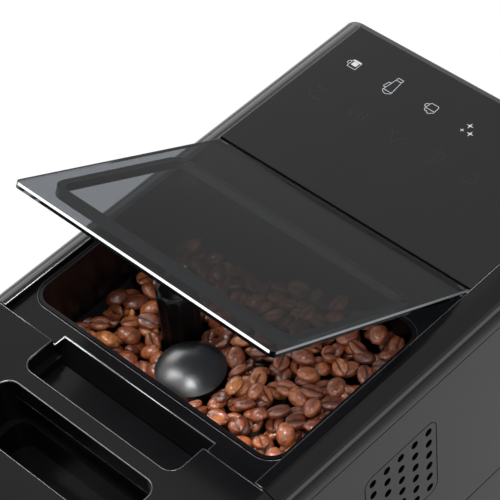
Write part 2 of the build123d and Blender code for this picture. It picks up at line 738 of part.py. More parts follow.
def chassis_frame():
    """Inner frame: middle deck, back wall, tank shelf and the posts that join them to the base."""
    deck = span(-FRAME_X, FRAME_X, BAY_BACK_Y, BULK_Y + BULK_THICK, MID_Z, MID_Z + MID_THICK)
    wall = span(
        -FRAME_X, FRAME_X, BULK_Y, BULK_Y + BULK_THICK,
        BASE_TOP, SIDE_SEAM_Z - BULK_HEAD,
    )
    shelf = span(
        -FRAME_X, FRAME_X, BULK_Y, REAR,
        TANK_FLOOR_Z - SHELF_THICK, TANK_FLOOR_Z,
    )
    frame = deck + wall + shelf
    for x in (-FRAME_X, FRAME_X - POST_SIDE):
        frame += span(
            x, x + POST_SIDE, REAR_POST_Y, REAR_POST_Y + POST_SIDE,
            BASE_TOP, TANK_FLOOR_Z - SHELF_THICK,
        )
    for x in (-FRAME_X, FRAME_X - FRONT_POST):
        frame += span(
            x, x + FRONT_POST, BAY_BACK_Y, BAY_BACK_Y + POST_SIDE, BASE_TOP, SIDE_SEAM_Z - BULK_HEAD,
        )
    frame -= span(
        -BREW_BAY, BREW_BAY, BAY_BACK_Y - CUT, BREW_Y1 + RUN_GAP, MID_Z - CUT, MID_Z + MID_THICK + CUT,
    )
    frame -= rod(SOCKET_X, SOCKET_Y, TANK_FLOOR_Z - SHELF_THICK - CUT, TANK_FLOOR_Z + CUT, SOCKET_R)
    return frame


BULK_HEAD = 24.0
REAR_POST_INSET = 19.0
FRONT_POST = 6.0
BREW_BAY_INSET = 29.9
TANK_FRONT_GAP = 9.0
SOCKET_X = 0.0
SOCKET_R = 11.0

BREW_BAY = SIDE_X - BREW_BAY_INSET
REAR_POST_Y = REAR - REAR_POST_INSET
TANK_Y0 = BULK_Y + BULK_THICK + TANK_FRONT_GAP
TANK_Y1 = REAR - TANK_SIDE_GAP
SOCKET_Y = (TANK_Y0 + TANK_Y1) / 2


def bay_liner():
    """The cup bay's side walls, ceiling and back wall above the grounds container."""
    outer = soft_span_y(
        -BAY_HALF - BAY_WALL, BAY_HALF + BAY_WALL, PANEL_FRONT, BAY_BACK_Y,
        TRAY_TOP - 2 * BAY_R, BAY_TOP + BAY_WALL, BAY_R,
    )
    liner = outer - soft_span_y(
        -BAY_HALF, BAY_HALF, PANEL_FRONT - CUT, BAY_BACK_Y - BAY_WALL,
        TRAY_TOP - 2 * BAY_R, BAY_TOP, BAY_R,
    )
    liner -= span(
        -HALF, HALF, PANEL_FRONT - CUT, BAY_BACK_Y + CUT, BASE_Z, TRAY_TOP + GRID_THICK + TRAY_GAP,
    )
    bin_half = GROUNDS_HALF + TRAY_GAP
    liner -= span(
        -bin_half, bin_half, BAY_BACK_Y - BAY_WALL - CUT, BAY_BACK_Y + CUT,
        BASE_Z, GROUNDS_TOP + RUN_GAP,
    )
    liner -= span(
        -SLOT_HALF - RUN_GAP, SLOT_HALF + RUN_GAP, PANEL_FRONT - CUT, RAIL_Y0 + RAIL_DEPTH,
        BAY_TOP - CUT, BAY_TOP + BAY_WALL + CUT,
    )
    return liner


def spout_recess():
    """Box over the bay's ceiling that the spout rises into."""
    half = SLOT_HALF + RUN_GAP
    z0, z1 = BAY_TOP + BAY_WALL, SLOT_TOP + RUN_GAP
    y1 = RAIL_Y0 + RAIL_DEPTH
    recess = span(-half - BAY_WALL, half + BAY_WALL, PANEL_FRONT, y1, z0, z1 + BAY_WALL)
    return recess - span(-half, half, PANEL_FRONT - CUT, y1 + CUT, z0 - CUT, z1)


# Drip tray, its grid and float, and the grounds container that stands in it
TRAY_WALL = 2.4
TRAY_Z0 = BASE_TOP + RUN_GAP
TRAY_BULK_GAP = 83.0
TRAY_SIDE = 9.6
APRON_R = 14.0
GRID_THICK = 2.5
GRID_SIDE = 3.0
GRID_LEDGE = 3.0
GRID_SLOTS = 11
GRID_END = 28.0
GRID_SLOT_WIDTH = 4.4
GRID_RIM = 5.0
GRID_REAR = -46.2
FLOAT_BACK = -92.2
FLOAT_R = 4.5
FLOAT_WINDOW_R = 7.5
GROUNDS_SIDE = 12.0
GROUNDS_TRAY_GAP = 6.0
GROUNDS_FRONT = -43.2
GROUNDS_TOP = 108.0
GROUNDS_WALL = 2.2
GROUNDS_R = 8.0

TRAY_HALF = HALF - TRAY_SIDE
TRAY_REAR_Y = BULK_Y - TRAY_BULK_GAP
GRID_HALF = BAY_HALF - GRID_SIDE
GRID_REAR_Y = back(GRID_REAR)
GRID_SPLIT_X = -GRID_HALF + GRID_END
FLOAT_X = -GRID_HALF + GRID_END / 2
FLOAT_Y = back(FLOAT_BACK)
GROUNDS_HALF = BAY_HALF - GROUNDS_SIDE
GROUNDS_FRONT_Y = back(GROUNDS_FRONT)
GROUNDS_REAR_Y = TRAY_REAR_Y - GROUNDS_TRAY_GAP


def drip_tray():
    """Wide pull-out tray: rounded apron in front, narrower pan behind."""
    apron = span(-HALF, HALF, TRAY_FRONT, FRONT - TRAY_GAP, TRAY_Z0, TRAY_TOP)
    apron = fillet(apron.edges().filter_by(Axis.Z).group_by(Axis.Y)[0], APRON_R)
    pan = span(-TRAY_HALF, TRAY_HALF, FRONT - TRAY_GAP - TRAY_WALL, TRAY_REAR_Y, TRAY_Z0, TRAY_TOP)
    tray = apron + pan
    y0, y1 = TRAY_FRONT + TRAY_WALL, TRAY_REAR_Y - TRAY_WALL
    x = TRAY_HALF - TRAY_WALL
    basin = span(-x, x, y0, y1, TRAY_Z0 + TRAY_WALL, TRAY_TOP - TRAY_WALL)
    tray -= fillet(basin.edges().filter_by(Axis.Z).group_by(Axis.Y)[0], APRON_R - TRAY_WALL)
    mouth_half = GRID_HALF - GRID_LEDGE
    mouth = span(-mouth_half, mouth_half, y0 + MOUTH_INSET, y1, TRAY_TOP - 2 * TRAY_WALL, TRAY_TOP + CUT)
    tray -= fillet(mouth.edges().filter_by(Axis.Z).group_by(Axis.Y)[0], MOUTH_R)
    return tray


MOUTH_INSET = 9.0
MOUTH_R = 6.0


def grid_blank():
    """Grid and end piece in one: a flat plate with a turned-down lip inside the tray's mouth."""
    y0 = TRAY_FRONT + TRAY_WALL + MOUTH_INSET
    grid = span(-GRID_HALF, GRID_HALF, y0 - GRID_LEDGE, GRID_REAR_Y, TRAY_TOP, TRAY_TOP + GRID_THICK)
    grid = fillet(grid.edges().filter_by(Axis.Z).group_by(Axis.Y)[0], MOUTH_R + GRID_LEDGE)
    lip_half = GRID_HALF - GRID_LEDGE - RUN_GAP
    lip = span(-lip_half, lip_half, y0 + RUN_GAP, GRID_REAR_Y, TRAY_TOP - GRID_RIM, TRAY_TOP)
    lip = fillet(lip.edges().filter_by(Axis.Z).group_by(Axis.Y)[0], MOUTH_R)
    lip -= span(
        -lip_half + GRID_THICK, lip_half - GRID_THICK,
        y0 + RUN_GAP + GRID_THICK, GRID_REAR_Y - GRID_THICK,
        TRAY_TOP - GRID_RIM - CUT, TRAY_TOP + CUT,
    )
    return grid + lip


def drip_grid():
    """Slotted metal grid that cups stand on."""
    y0 = TRAY_FRONT + TRAY_WALL + MOUTH_INSET
    grid = grid_blank() & span(GRID_SPLIT_X, HALF, TRAY_FRONT, GRID_REAR_Y, BASE_Z, TOP)
    length = GRID_REAR_Y - y0 - 2 * (GRID_RIM + GRID_THICK)
    pitch = (GRID_HALF - GRID_SPLIT_X - 2 * GRID_RIM) / GRID_SLOTS
    slots = []
    for i in range(GRID_SLOTS):
        slot_x = GRID_SPLIT_X + GRID_RIM + pitch * (i + MIDDLE_SHARE)
        slot = Pos(slot_x, (y0 + GRID_REAR_Y) / 2, TRAY_TOP - CUT) * Rot(0, 0, 90)
        slots.append(extrude(slot * SlotOverall(length, GRID_SLOT_WIDTH), GRID_THICK + 2 * CUT))
    return grid - slots


def grid_end():
    """Plain end piece of the grid, with the float's round window."""
    end = grid_blank() & span(-HALF, GRID_SPLIT_X, TRAY_FRONT, GRID_REAR_Y, BASE_Z, TOP)
    return end - rod(FLOAT_X, FLOAT_Y, TRAY_TOP - CUT, TRAY_TOP + GRID_THICK + CUT, FLOAT_WINDOW_R)


def tray_float():
    """Red float that rises through the grid when the tray is full."""
    top = TRAY_TOP + GRID_THICK - FLOAT_SINK
    stem = rod(FLOAT_X, FLOAT_Y, TRAY_Z0 + TRAY_WALL + FLOAT_LIFT, top, FLOAT_R)
    disc = rod(
        FLOAT_X, FLOAT_Y, TRAY_Z0 + TRAY_WALL + RUN_GAP, TRAY_Z0 + TRAY_WALL + FLOAT_LIFT, FLOAT_DISC_R,
    )
    return disc + stem


FLOAT_LIFT = 9.0
FLOAT_DISC_R = 11.0
FLOAT_SINK = 0.5


def grounds_container():
    """Open bin for the used coffee; its front closes the foot of the cup bay's back."""
    z0 = TRAY_Z0 + TRAY_WALL + RUN_GAP
    bin_ = soft_span(
        -GROUNDS_HALF, GROUNDS_HALF, GROUNDS_FRONT_Y, GROUNDS_REAR_Y, z0, GROUNDS_TOP, GROUNDS_R,
    )
    bin_ -= soft_span(
        -GROUNDS_HALF + GROUNDS_WALL, GROUNDS_HALF - GROUNDS_WALL,
        GROUNDS_FRONT_Y + GROUNDS_WALL, GROUNDS_REAR_Y - GROUNDS_WALL,
        z0 + GROUNDS_WALL, GROUNDS_TOP + CUT, GROUNDS_R - GROUNDS_WALL,
    )
    return bin_


# Coffee spout that slides up and down in the front
SPOUT_HALF = 27.0
SPOUT_REACH = 20.0
SPOUT_BACK = 38.0
SPOUT_Z0 = 150.0
SPOUT_Z1 = 238.0
SPOUT_R = 8.0
SPOUT_WALL = 2.2
NOZZLE_X = 11.0
NOZZLE_BACK = 4.0
NOZZLE_R = 4.5
NOZZLE_BORE = 3.0
NOZZLE_LENGTH = 12.0
RAIL_DEPTH = 8.0
RAIL_HALF = SLOT_HALF
RAIL_SLOT = 7.0
RAIL_Z0 = 150.0
RAIL_Z1 = SLOT_TOP
HOOK_DEPTH = 4.0

SPOUT_FRONT_Y = FRONT - SPOUT_REACH
SPOUT_BACK_Y = FRONT + SPOUT_BACK
NOZZLE_Y = FRONT + NOZZLE_BACK
RAIL_Y0 = SPOUT_BACK_Y + RUN_GAP


def spout_body():
    """Spout housing: rounded front, hollow inside, with a hook that runs in the rail."""
    body = span(-SPOUT_HALF, SPOUT_HALF, SPOUT_FRONT_Y, SPOUT_BACK_Y, SPOUT_Z0, SPOUT_Z1)
    body = fillet(body.edges().filter_by(Axis.Z).group_by(Axis.Y)[0], SPOUT_R)
    body = fillet(body.edges().group_by(Axis.Z)[-1], SPOUT_WALL)
    body -= span(
        -SPOUT_HALF + SPOUT_WALL, SPOUT_HALF - SPOUT_WALL,
        SPOUT_FRONT_Y + SPOUT_R, SPOUT_BACK_Y - SPOUT_WALL,
        SPOUT_Z0 - CUT, SPOUT_Z1 - 2 * SPOUT_WALL,
    )
    hook = span(
        -RAIL_SLOT + RUN_GAP, RAIL_SLOT - RUN_GAP, SPOUT_BACK_Y - SPOUT_WALL, RAIL_Y0 + HOOK_DEPTH,
        SPOUT_Z1 - SPOUT_HOOK, SPOUT_Z1 - 2 * SPOUT_WALL,
    )
    return body + hook


SPOUT_HOOK = 40.0


def spout_nozzles():
    """Distributor block with two round outlets."""
    block = span(
        -SPOUT_HALF + SPOUT_WALL + RUN_GAP, SPOUT_HALF - SPOUT_WALL - RUN_GAP,
        SPOUT_FRONT_Y + SPOUT_R + RUN_GAP, NOZZLE_Y + NOZZLE_BLOCK,
        SPOUT_Z0, SPOUT_Z0 + NOZZLE_BLOCK,
    )
    for x in (-NOZZLE_X, NOZZLE_X):
        block += rod(x, NOZZLE_Y, SPOUT_Z0 - NOZZLE_LENGTH, SPOUT_Z0, NOZZLE_R)
    for x in (-NOZZLE_X, NOZZLE_X):
        block -= rod(
            x, NOZZLE_Y, SPOUT_Z0 - NOZZLE_LENGTH - CUT, SPOUT_Z0 + NOZZLE_BLOCK + CUT, NOZZLE_BORE,
        )
    return block


NOZZLE_BLOCK = 10.0


def spout_rail():
    """Upright guide behind the spout with a slot for its hook."""
    rail = span(-RAIL_HALF, RAIL_HALF, RAIL_Y0, RAIL_Y0 + RAIL_DEPTH, RAIL_Z0, RAIL_Z1)
    rail -= span(
        -RAIL_SLOT, RAIL_SLOT, RAIL_Y0 - CUT, RAIL_Y0 + HOOK_DEPTH + RUN_GAP,
        RAIL_Z0 - CUT, RAIL_Z1 - RAIL_SLOT,
    )
    rail += span(
        -RAIL_HALF, RAIL_HALF, RAIL_Y0 + RAIL_DEPTH, BAY_BACK_Y, RAIL_ARM_Z, RAIL_ARM_Z + RAIL_ARM,
    )
    rail += span(
        -FRAME_X + FRONT_POST, FRAME_X - FRONT_POST, BAY_BACK_Y - RAIL_ARM, BAY_BACK_Y + RAIL_ARM,
        RAIL_ARM_Z, RAIL_ARM_Z + RAIL_ARM,
    )
    return rail


RAIL_ARM_Z = 222.0
RAIL_ARM = 6.0


# Water tank at the back, with its valve, and the socket it stands on
TANK_SIDE = 2.9
TANK_RIM_Z = 302.6
TANK_R = 14.0
TANK_BASE_Z = TANK_FLOOR_Z + RUN_GAP
TANK_HALF = SIDE_X - TANK_SIDE
VALVE_R = 7.0
VALVE_STEM_R = 2.5


def tank_shell():
    """Clear tank, open at the top under its cover, with the valve's neck in the floor."""
    y1 = TANK_Y1
    shell = soft_span(-TANK_HALF, TANK_HALF, TANK_Y0, y1, TANK_BASE_Z, TANK_RIM_Z, TANK_R)
    shell -= soft_span(
        -TANK_HALF + TANK_WALL, TANK_HALF - TANK_WALL, TANK_Y0 + TANK_WALL, y1 - TANK_WALL,
        TANK_BASE_Z + TANK_WALL, TANK_RIM_Z + CUT, TANK_R - TANK_WALL,
    )
    shell += rod(
        SOCKET_X, SOCKET_Y, TANK_BASE_Z + TANK_WALL, TANK_BASE_Z + TANK_WALL + NECK_RISE, VALVE_R,
    )
    shell -= rod(
        SOCKET_X, SOCKET_Y, TANK_BASE_Z - CUT, TANK_BASE_Z + TANK_WALL + NECK_RISE + CUT, NECK_BORE,
    )
    return shell


NECK_RISE = 3.0
NECK_BORE = 4.5


def tank_valve():
    """Sprung poppet in the tank's neck, held open by the socket's pin."""
    z = TANK_BASE_Z + TANK_WALL + NECK_RISE
    head = rod(SOCKET_X, SOCKET_Y, z + RUN_GAP, z + VALVE_HEAD, VALVE_R)
    stem = rod(SOCKET_X, SOCKET_Y, TANK_BASE_Z + CUT, z + RUN_GAP, VALVE_STEM_R)
    return head + stem


VALVE_HEAD = 3.0


def tank_socket():
    """Coupling in the shelf with a spout tube below and the pin that opens the valve."""
    z1 = TANK_FLOOR_Z
    socket = rod(SOCKET_X, SOCKET_Y, z1 - SOCKET_DEPTH, z1, SOCKET_R - RUN_GAP)
    socket -= rod(SOCKET_X, SOCKET_Y, z1 - SOCKET_DEPTH + SHELF_THICK, z1 + CUT, SOCKET_BORE)
    socket += rod(
        SOCKET_X, SOCKET_Y, z1 - SOCKET_DEPTH, TANK_BASE_Z + CUT - RUN_GAP, VALVE_STEM_R - RUN_GAP,
    )
    socket += rod(
        SOCKET_X, SOCKET_Y, z1 - SOCKET_DEPTH - SOCKET_TAIL, z1 - SOCKET_DEPTH, VALVE_STEM_R + CUT,
    )
    socket += rod(
        SOCKET_X, SOCKET_Y, z1 - SHELF_THICK - SOCKET_FLANGE, z1 - SHELF_THICK,
        SOCKET_R + SOCKET_FLANGE,
    )
    socket -= rod(SOCKET_X, SOCKET_Y, z1 - SHELF_THICK - SOCKET_FLANGE, z1 + CUT, SOCKET_BORE) - rod(
        SOCKET_X, SOCKET_Y, z1 - SOCKET_DEPTH, z1 + 2 * CUT, VALVE_STEM_R - RUN_GAP,
    )
    return socket


SOCKET_DEPTH = 12.0
SOCKET_BORE = 7.5
SOCKET_TAIL = 10.0
SOCKET_FLANGE = 2.0


def tank_filter():
    """Water filter cartridge that stands over the valve."""
    z = TANK_BASE_Z + TANK_WALL
    case = rod(SOCKET_X, SOCKET_Y, z, z + FILTER_HEIGHT, FILTER_R)
    case -= rod(SOCKET_X, SOCKET_Y, z - CUT, z + FILTER_HEIGHT - SHELL, FILTER_R - SHELL)
    for angle in range(0, 180, 45):
        slot = Pos(SOCKET_X, SOCKET_Y, z + FILTER_HEIGHT / 2) * Rot(0, 0, angle)
        case -= slot * Box(4 * FILTER_R, FILTER_SLOT, FILTER_HEIGHT - 4 * SHELL)
    return case


FILTER_R = 16.0
FILTER_HEIGHT = 70.0
FILTER_SLOT = 3.0


# Grinder: motor, burrs, adjusting ring and its pinion
GRIND_Z0 = 190.0
GRIND_R = 27.0
MOTOR_Z0 = 124.0
MOTOR_R = 24.0
RING_GEAR_TEETH = 48
PINION_TEETH = 16
TOOTH_TIP = 0.9
TOOTH_ROOT = 1.4
TOOTH_THIN = 0.28
TOOTH_FOOT_SHARE = 1.35
TOOTH_CREST_SHARE = 0.55
BURR_Z0 = 214.0
BURR_Z1 = 232.0
BURR_R = 19.0
BURR_TOP_R = 9.0
BURR_CLEAR = 0.6
GEAR_THICK = 6.0

MODULE = 2 * hypot(INLET_X - KNOB_X, INLET_Y - KNOB_Y) / (RING_GEAR_TEETH + PINION_TEETH)
GEAR_Z0 = BURR_Z1 + RUN_GAP
GEAR_Z1 = GEAR_Z0 + GEAR_THICK


def gear(x, y, z0, z1, teeth, turn=0.0):
    """A spur gear with straight-sided teeth, thinned for backlash."""
    pitch_r = MODULE * teeth / 2
    tip, root = pitch_r + TOOTH_TIP, pitch_r - TOOTH_ROOT
    half = pi * MODULE / 4 - TOOTH_THIN
    outline = Circle(root)
    for i in range(teeth):
        foot, crest = half * TOOTH_FOOT_SHARE, half * TOOTH_CREST_SHARE
        tooth = Polygon(
            (root - CUT, -foot), (root, -foot),
            (tip, -crest), (tip, crest), (root, foot), (root - CUT, foot),
            align=None,
        )
        outline += Rot(0, 0, turn + i * 360 / teeth) * tooth
    return Pos(x, y, z0) * extrude(outline, z1 - z0)


def adjusting_ring():
    """Toothed ring that carries the upper burr up and down on its thread."""
    ring = gear(INLET_X, INLET_CY, GEAR_Z0, GEAR_Z1, RING_GEAR_TEETH, ring_turn())
    ring += rod(INLET_X, INLET_CY, BURR_Z1, GEAR_Z0, BURR_R + BURR_RIM)
    ring -= rod(INLET_X, INLET_CY, BURR_Z1 - CUT, GEAR_Z1 + CUT, INLET_R - HOPPER_WALL)
    return ring


def ring_turn():
    """Turns the ring so that a gap faces the pinion's tooth."""
    line = degrees(atan2(KNOB_CY - INLET_CY, KNOB_X - INLET_X))
    return line + 180 / RING_GEAR_TEETH


def knob_shaft():
    """Steel shaft under the knob with the pinion on its lower end."""
    top = TOP - KNOB_TOP_DEPTH - KNOB_RISE
    line = degrees(atan2(INLET_CY - KNOB_CY, INLET_X - KNOB_X))
    shaft = rod(KNOB_X, KNOB_CY, GEAR_Z0 - SHAFT_TAIL, top, SHAFT_R)
    return shaft + gear(KNOB_X, KNOB_CY, GEAR_Z0, GEAR_Z1, PINION_TEETH, line)


SHAFT_TAIL = 2.0


def upper_burr():
    """Fixed outer burr, a steel ring with a conical mouth."""
    burr = rod(INLET_X, INLET_CY, BURR_Z0 + BURR_CLEAR, BURR_Z1, BURR_R + BURR_RIM)
    cone = Pos(INLET_X, INLET_CY, (BURR_Z0 + BURR_Z1) / 2) * Cone(
        BURR_R + BURR_CLEAR, BURR_TOP_R + BURR_CLEAR, BURR_Z1 - BURR_Z0,
    )
    return burr - cone - rod(INLET_X, INLET_CY, BURR_Z1 - CUT, BURR_Z1 + CUT, BURR_TOP_R + BURR_CLEAR)


BURR_RIM = 3.0


def lower_burr():
    """Turning conical burr with slanted cutting flutes."""
    burr = Pos(INLET_X, INLET_CY, (BURR_Z0 + BURR_Z1) / 2) * Cone(BURR_R, BURR_TOP_R, BURR_Z1 - BURR_Z0)
    for i in range(BURR_FLUTES):
        flute = Pos(INLET_X, INLET_CY, BURR_Z1) * Rot(0, 0, i * 360 / BURR_FLUTES)
        flute = flute * Pos(BURR_R * FLUTE_PLACE_SHARE, 0, 0) * Rot(0, BURR_SLANT, BURR_SLANT)
        burr -= flute * Box(FLUTE_WIDTH, FLUTE_WIDTH, 2 * (BURR_Z1 - BURR_Z0))
    burr -= rod(INLET_X, INLET_CY, BURR_Z0 - CUT, BURR_Z1 + CUT, SHAFT_R + CUT)
    return burr


BURR_FLUTES = 6
BURR_SLANT = 30
FLUTE_WIDTH = 2.5
FLUTE_PLACE_SHARE = 0.75


def burr_shaft():
    """Drive shaft from the motor to the lower burr."""
    return rod(INLET_X, INLET_CY, GRIND_Z0 + RUN_GAP, BURR_Z1, SHAFT_R + CUT)


def grinder_body():
    """Burr housing on the motor's flange with the chute that drops grounds to the brew unit."""
    body = rod(INLET_X, INLET_CY, GRIND_Z0, BURR_Z1, GRIND_R)
    body += rod(INLET_X, INLET_CY, GRIND_Z0, GRIND_Z0 + FLANGE_THICK * 2, GRIND_R + FLANGE_OUT)
    chute = span(
        INLET_X - CHUTE_HALF, INLET_X + CHUTE_HALF, CHUTE_FRONT_Y, INLET_CY,
        BURR_Z0 - CHUTE_DROP, BURR_Z0,
    )
    body += chute
    body -= rod(INLET_X, INLET_CY, BURR_Z0 - RUN_GAP, BURR_Z1 + CUT, BURR_R + BURR_RIM + RUN_GAP)
    body -= rod(INLET_X, INLET_CY, GRIND_Z0 - CUT, BURR_Z0, SHAFT_R + CUT + SHAFT_FIT)
    body -= span(
        INLET_X - CHUTE_HALF + CHUTE_WALL, INLET_X + CHUTE_HALF - CHUTE_WALL,
        INLET_CY - BURR_R - CHUTE_WALL, INLET_CY - BURR_R + CHUTE_WALL,
        BURR_Z0 - 2 * CHUTE_WALL, BURR_Z0 + CUT,
    )
    body -= span(
        INLET_X - CHUTE_HALF + CHUTE_WALL, INLET_X + CHUTE_HALF - CHUTE_WALL,
        CHUTE_FRONT_Y + CHUTE_WALL, INLET_CY - BURR_R,
        BURR_Z0 - CHUTE_DROP + CHUTE_WALL, BURR_Z0 - CHUTE_WALL,
    )
    body -= span(
        INLET_X - CHUTE_HALF + CHUTE_WALL, INLET_X + CHUTE_HALF - CHUTE_WALL,
        CHUTE_FRONT_Y + CHUTE_WALL, CHUTE_FRONT_Y + CHUTE_MOUTH,
        BURR_Z0 - CHUTE_DROP - CUT, BURR_Z0 - CHUTE_WALL,
    )
    return body


CHUTE_HALF = 12.0
CHUTE_OVERLAP = 10.0
CHUTE_DROP = 16.0
CHUTE_WALL = 2.0
CHUTE_MOUTH = 24.0


def grinder_motor():
    """Motor can under the burrs, on the middle deck."""
    can = rod(INLET_X, INLET_CY, MOTOR_Z0, GRIND_Z0, MOTOR_R)
    can = chamfer(can.edges().group_by(Axis.Z)[0], SHELL)
    return can + rod(INLET_X, INLET_CY, MID_Z + MID_THICK, MOTOR_Z0 + SHELL, MOTOR_BOSS_R)


MOTOR_BOSS_R = 12.0


# Brew unit, which pulls out of the user's right side behind its door
BREW_X0 = -30.0
BREW_INSET = 5.9
BREW_BAY_GAP = 18.0
BREW_REAR_REACH = 36.0
BREW_Z0 = MID_Z + MID_THICK + RUN_GAP
BREW_Z1 = 197.4
BREW_PLATE = 4.0
BREW_AXIS_X = 32.6
BREW_AHEAD = 70.2
CHAMBER_R = 24.0
CHAMBER_BORE = 20.0
CHAMBER_Z0 = 142.0

BREW_X1 = SIDE_X - BREW_INSET
BREW_AXIS_Y = back(INLET_Y - BREW_AHEAD)
BREW_Y0 = BAY_BACK_Y + BREW_BAY_GAP
BREW_Y1 = BREW_AXIS_Y + BREW_REAR_REACH
CHUTE_FRONT_Y = BREW_AXIS_Y - CHUTE_OVERLAP


def brew_frame():
    """Brew unit's frame: floor and roof joined by two side cheeks, and a grip on its outer end."""
    frame = span(BREW_X0, BREW_X1, BREW_Y0, BREW_Y1, BREW_Z0, BREW_Z1)
    frame -= span(
        BREW_X0 + BREW_PLATE, BREW_X1 - BREW_PLATE, BREW_Y0 + BREW_PLATE, BREW_Y1 - BREW_PLATE,
        BREW_Z0 + BREW_PLATE, BREW_Z1 - BREW_PLATE,
    )
    frame -= soft_span_y(
        BREW_X0 + 3 * BREW_PLATE, BREW_X1 - 3 * BREW_PLATE, BREW_Y0 - CUT, BREW_Y1 + CUT,
        BREW_Z0 + 3 * BREW_PLATE, BREW_Z1 - 3 * BREW_PLATE, BREW_PLATE,
    )
    frame -= rod(BREW_AXIS_X, BREW_AXIS_Y, BREW_Z1 - BREW_PLATE - CUT, BREW_Z1 + CUT, CHAMBER_BORE)
    frame -= rod(BREW_AXIS_X, BREW_AXIS_Y, BREW_Z0 - CUT, BREW_Z0 + BREW_PLATE + CUT, SHAFT_R + 2 * CUT)
    return frame


def brew_chamber():
    """Round brewing cylinder under the frame's roof."""
    z1 = BREW_Z1 - BREW_PLATE
    chamber = rod(BREW_AXIS_X, BREW_AXIS_Y, CHAMBER_Z0, z1, CHAMBER_R)
    chamber -= rod(BREW_AXIS_X, BREW_AXIS_Y, CHAMBER_Z0 - CUT, z1 + CUT, CHAMBER_BORE)
    chamber += span(
        BREW_AXIS_X - CHAMBER_R, BREW_AXIS_X + CHAMBER_R,
        BREW_Y0 + BREW_PLATE, BREW_AXIS_Y - CHAMBER_BORE - CUT,
        z1 - 2 * BREW_PLATE, z1,
    )
    return chamber


def brew_piston():
    """Piston with a sealing ring that presses the coffee in the chamber."""
    z = CHAMBER_Z0 + BREW_PLATE
    head = rod(BREW_AXIS_X, BREW_AXIS_Y, z, z + 2 * BREW_PLATE, CHAMBER_BORE - SHAFT_FIT)
    groove = rod(BREW_AXIS_X, BREW_AXIS_Y, z + BREW_PLATE - CUT, z + BREW_PLATE + CUT, CHAMBER_BORE + CUT)
    groove -= rod(BREW_AXIS_X, BREW_AXIS_Y, z, z + 2 * BREW_PLATE, CHAMBER_BORE - CUT)
    head -= groove
    return head + rod(BREW_AXIS_X, BREW_AXIS_Y, BREW_Z0 + RUN_GAP, z, SHAFT_R + CUT)


def service_door():
    """Door over the brew unit, hinged at its rear edge."""
    door = door_span(SIDE_X, HALF, DOOR_GAP)
    door -= soft_span_x(
        HALF - DOOR_GRIP_DEPTH, HALF + CUT,
        DOOR_FRONT_Y + 4 * DOOR_GAP, DOOR_FRONT_Y + 4 * DOOR_GAP + DOOR_GRIP_WIDTH,
        DOOR_MID_Z - DOOR_GRIP_HEIGHT / 2, DOOR_MID_Z + DOOR_GRIP_HEIGHT / 2, 2 * DOOR_GAP,
    )
    return door


def door_axis():
    """Place of the door's upright hinge axis."""
    return HALF - SHELL / 2, DOOR_REAR_Y - DOOR_GAP - SHELL / 2


def door_pins():
    """Two short pins, one above and one below the door."""
    x, y = door_axis()
    low = rod(x, y, DOOR_BOTTOM_Z - DOOR_PIN, DOOR_BOTTOM_Z + DOOR_GAP, DOOR_PIN_R)
    high = rod(x, y, DOOR_TOP_Z - DOOR_GAP, DOOR_TOP_Z + DOOR_PIN, DOOR_PIN_R)
    return low, high


DOOR_PIN = 3.0
DOOR_PIN_R = 0.7
DOOR_GRIP_DEPTH = 1.4
DOOR_GRIP_WIDTH = 14.0
DOOR_GRIP_HEIGHT = 60.0
DOOR_MID_Z = (DOOR_BOTTOM_Z + DOOR_TOP_Z) / 2


# Water works and electrics
HEATER_INSET = 9.9
HEATER_THICK = 24.0
HEATER_BULK_GAP = 39.0
HEATER_LENGTH = 106.0
HEATER_Z1 = 208.0
HEATER_FINS = 9
PUMP_INSET = 37.9
PUMP_BULK_GAP = 7.0
PUMP_LENGTH = 58.0
PUMP_Z = 46.0
PUMP_R = 17.0
BOARD_X0 = -56.0
BOARD_INSET = 7.9
BOARD_Z0 = 128.0
BOARD_Z1 = 232.0
INLET_BLOCK_INSET = 37.9
SWITCH_SPACING = 44.0
PORT_Z = 66.0

HEATER_X0 = -SIDE_X + HEATER_INSET
HEATER_X1 = HEATER_X0 + HEATER_THICK
HEATER_Y1 = BULK_Y - HEATER_BULK_GAP
HEATER_Y0 = HEATER_Y1 - HEATER_LENGTH
PUMP_X = -SIDE_X + PUMP_INSET
PUMP_Y1 = BULK_Y - PUMP_BULK_GAP
PUMP_Y0 = PUMP_Y1 - PUMP_LENGTH
INLET_BLOCK_X = -SIDE_X + INLET_BLOCK_INSET
SWITCH_X = INLET_BLOCK_X + SWITCH_SPACING
BOARD_X1 = SIDE_X - BOARD_INSET


def thermoblock():
    """Cast heater block with cooling ribs, standing on the middle deck."""
    z0 = MID_Z + MID_THICK
    block = span(HEATER_X0, HEATER_X1, HEATER_Y0, HEATER_Y1, z0, HEATER_Z1)
    pitch = (HEATER_Y1 - HEATER_Y0) / HEATER_FINS
    for i in range(HEATER_FINS):
        y = HEATER_Y0 + pitch * (i + MIDDLE_SHARE)
        block -= span(
            HEATER_X1 - HEATER_FIN_DEPTH, HEATER_X1 + CUT, y - pitch / 4, y + pitch / 4,
            z0 + 2 * SHELL, HEATER_Z1 + CUT,
        )
    return block


HEATER_FIN_DEPTH = 10.0


def water_pump():
    """Vibrating pump lying on two saddles."""
    pump = rod_y(PUMP_X, PUMP_Y0, PUMP_Y1, PUMP_Z, PUMP_R)
    pump += rod_y(PUMP_X, PUMP_Y0 - PUMP_NOSE, PUMP_Y0, PUMP_Z, SHAFT_R * 2)
    pump += span(
        PUMP_X - PUMP_R, PUMP_X + PUMP_R, PUMP_Y0 + PUMP_NOSE, PUMP_Y1 - PUMP_NOSE,
        PUMP_Z - PUMP_R - SHELL, PUMP_Z + PUMP_R + SHELL,
    )
    return pump


PUMP_NOSE = 14.0


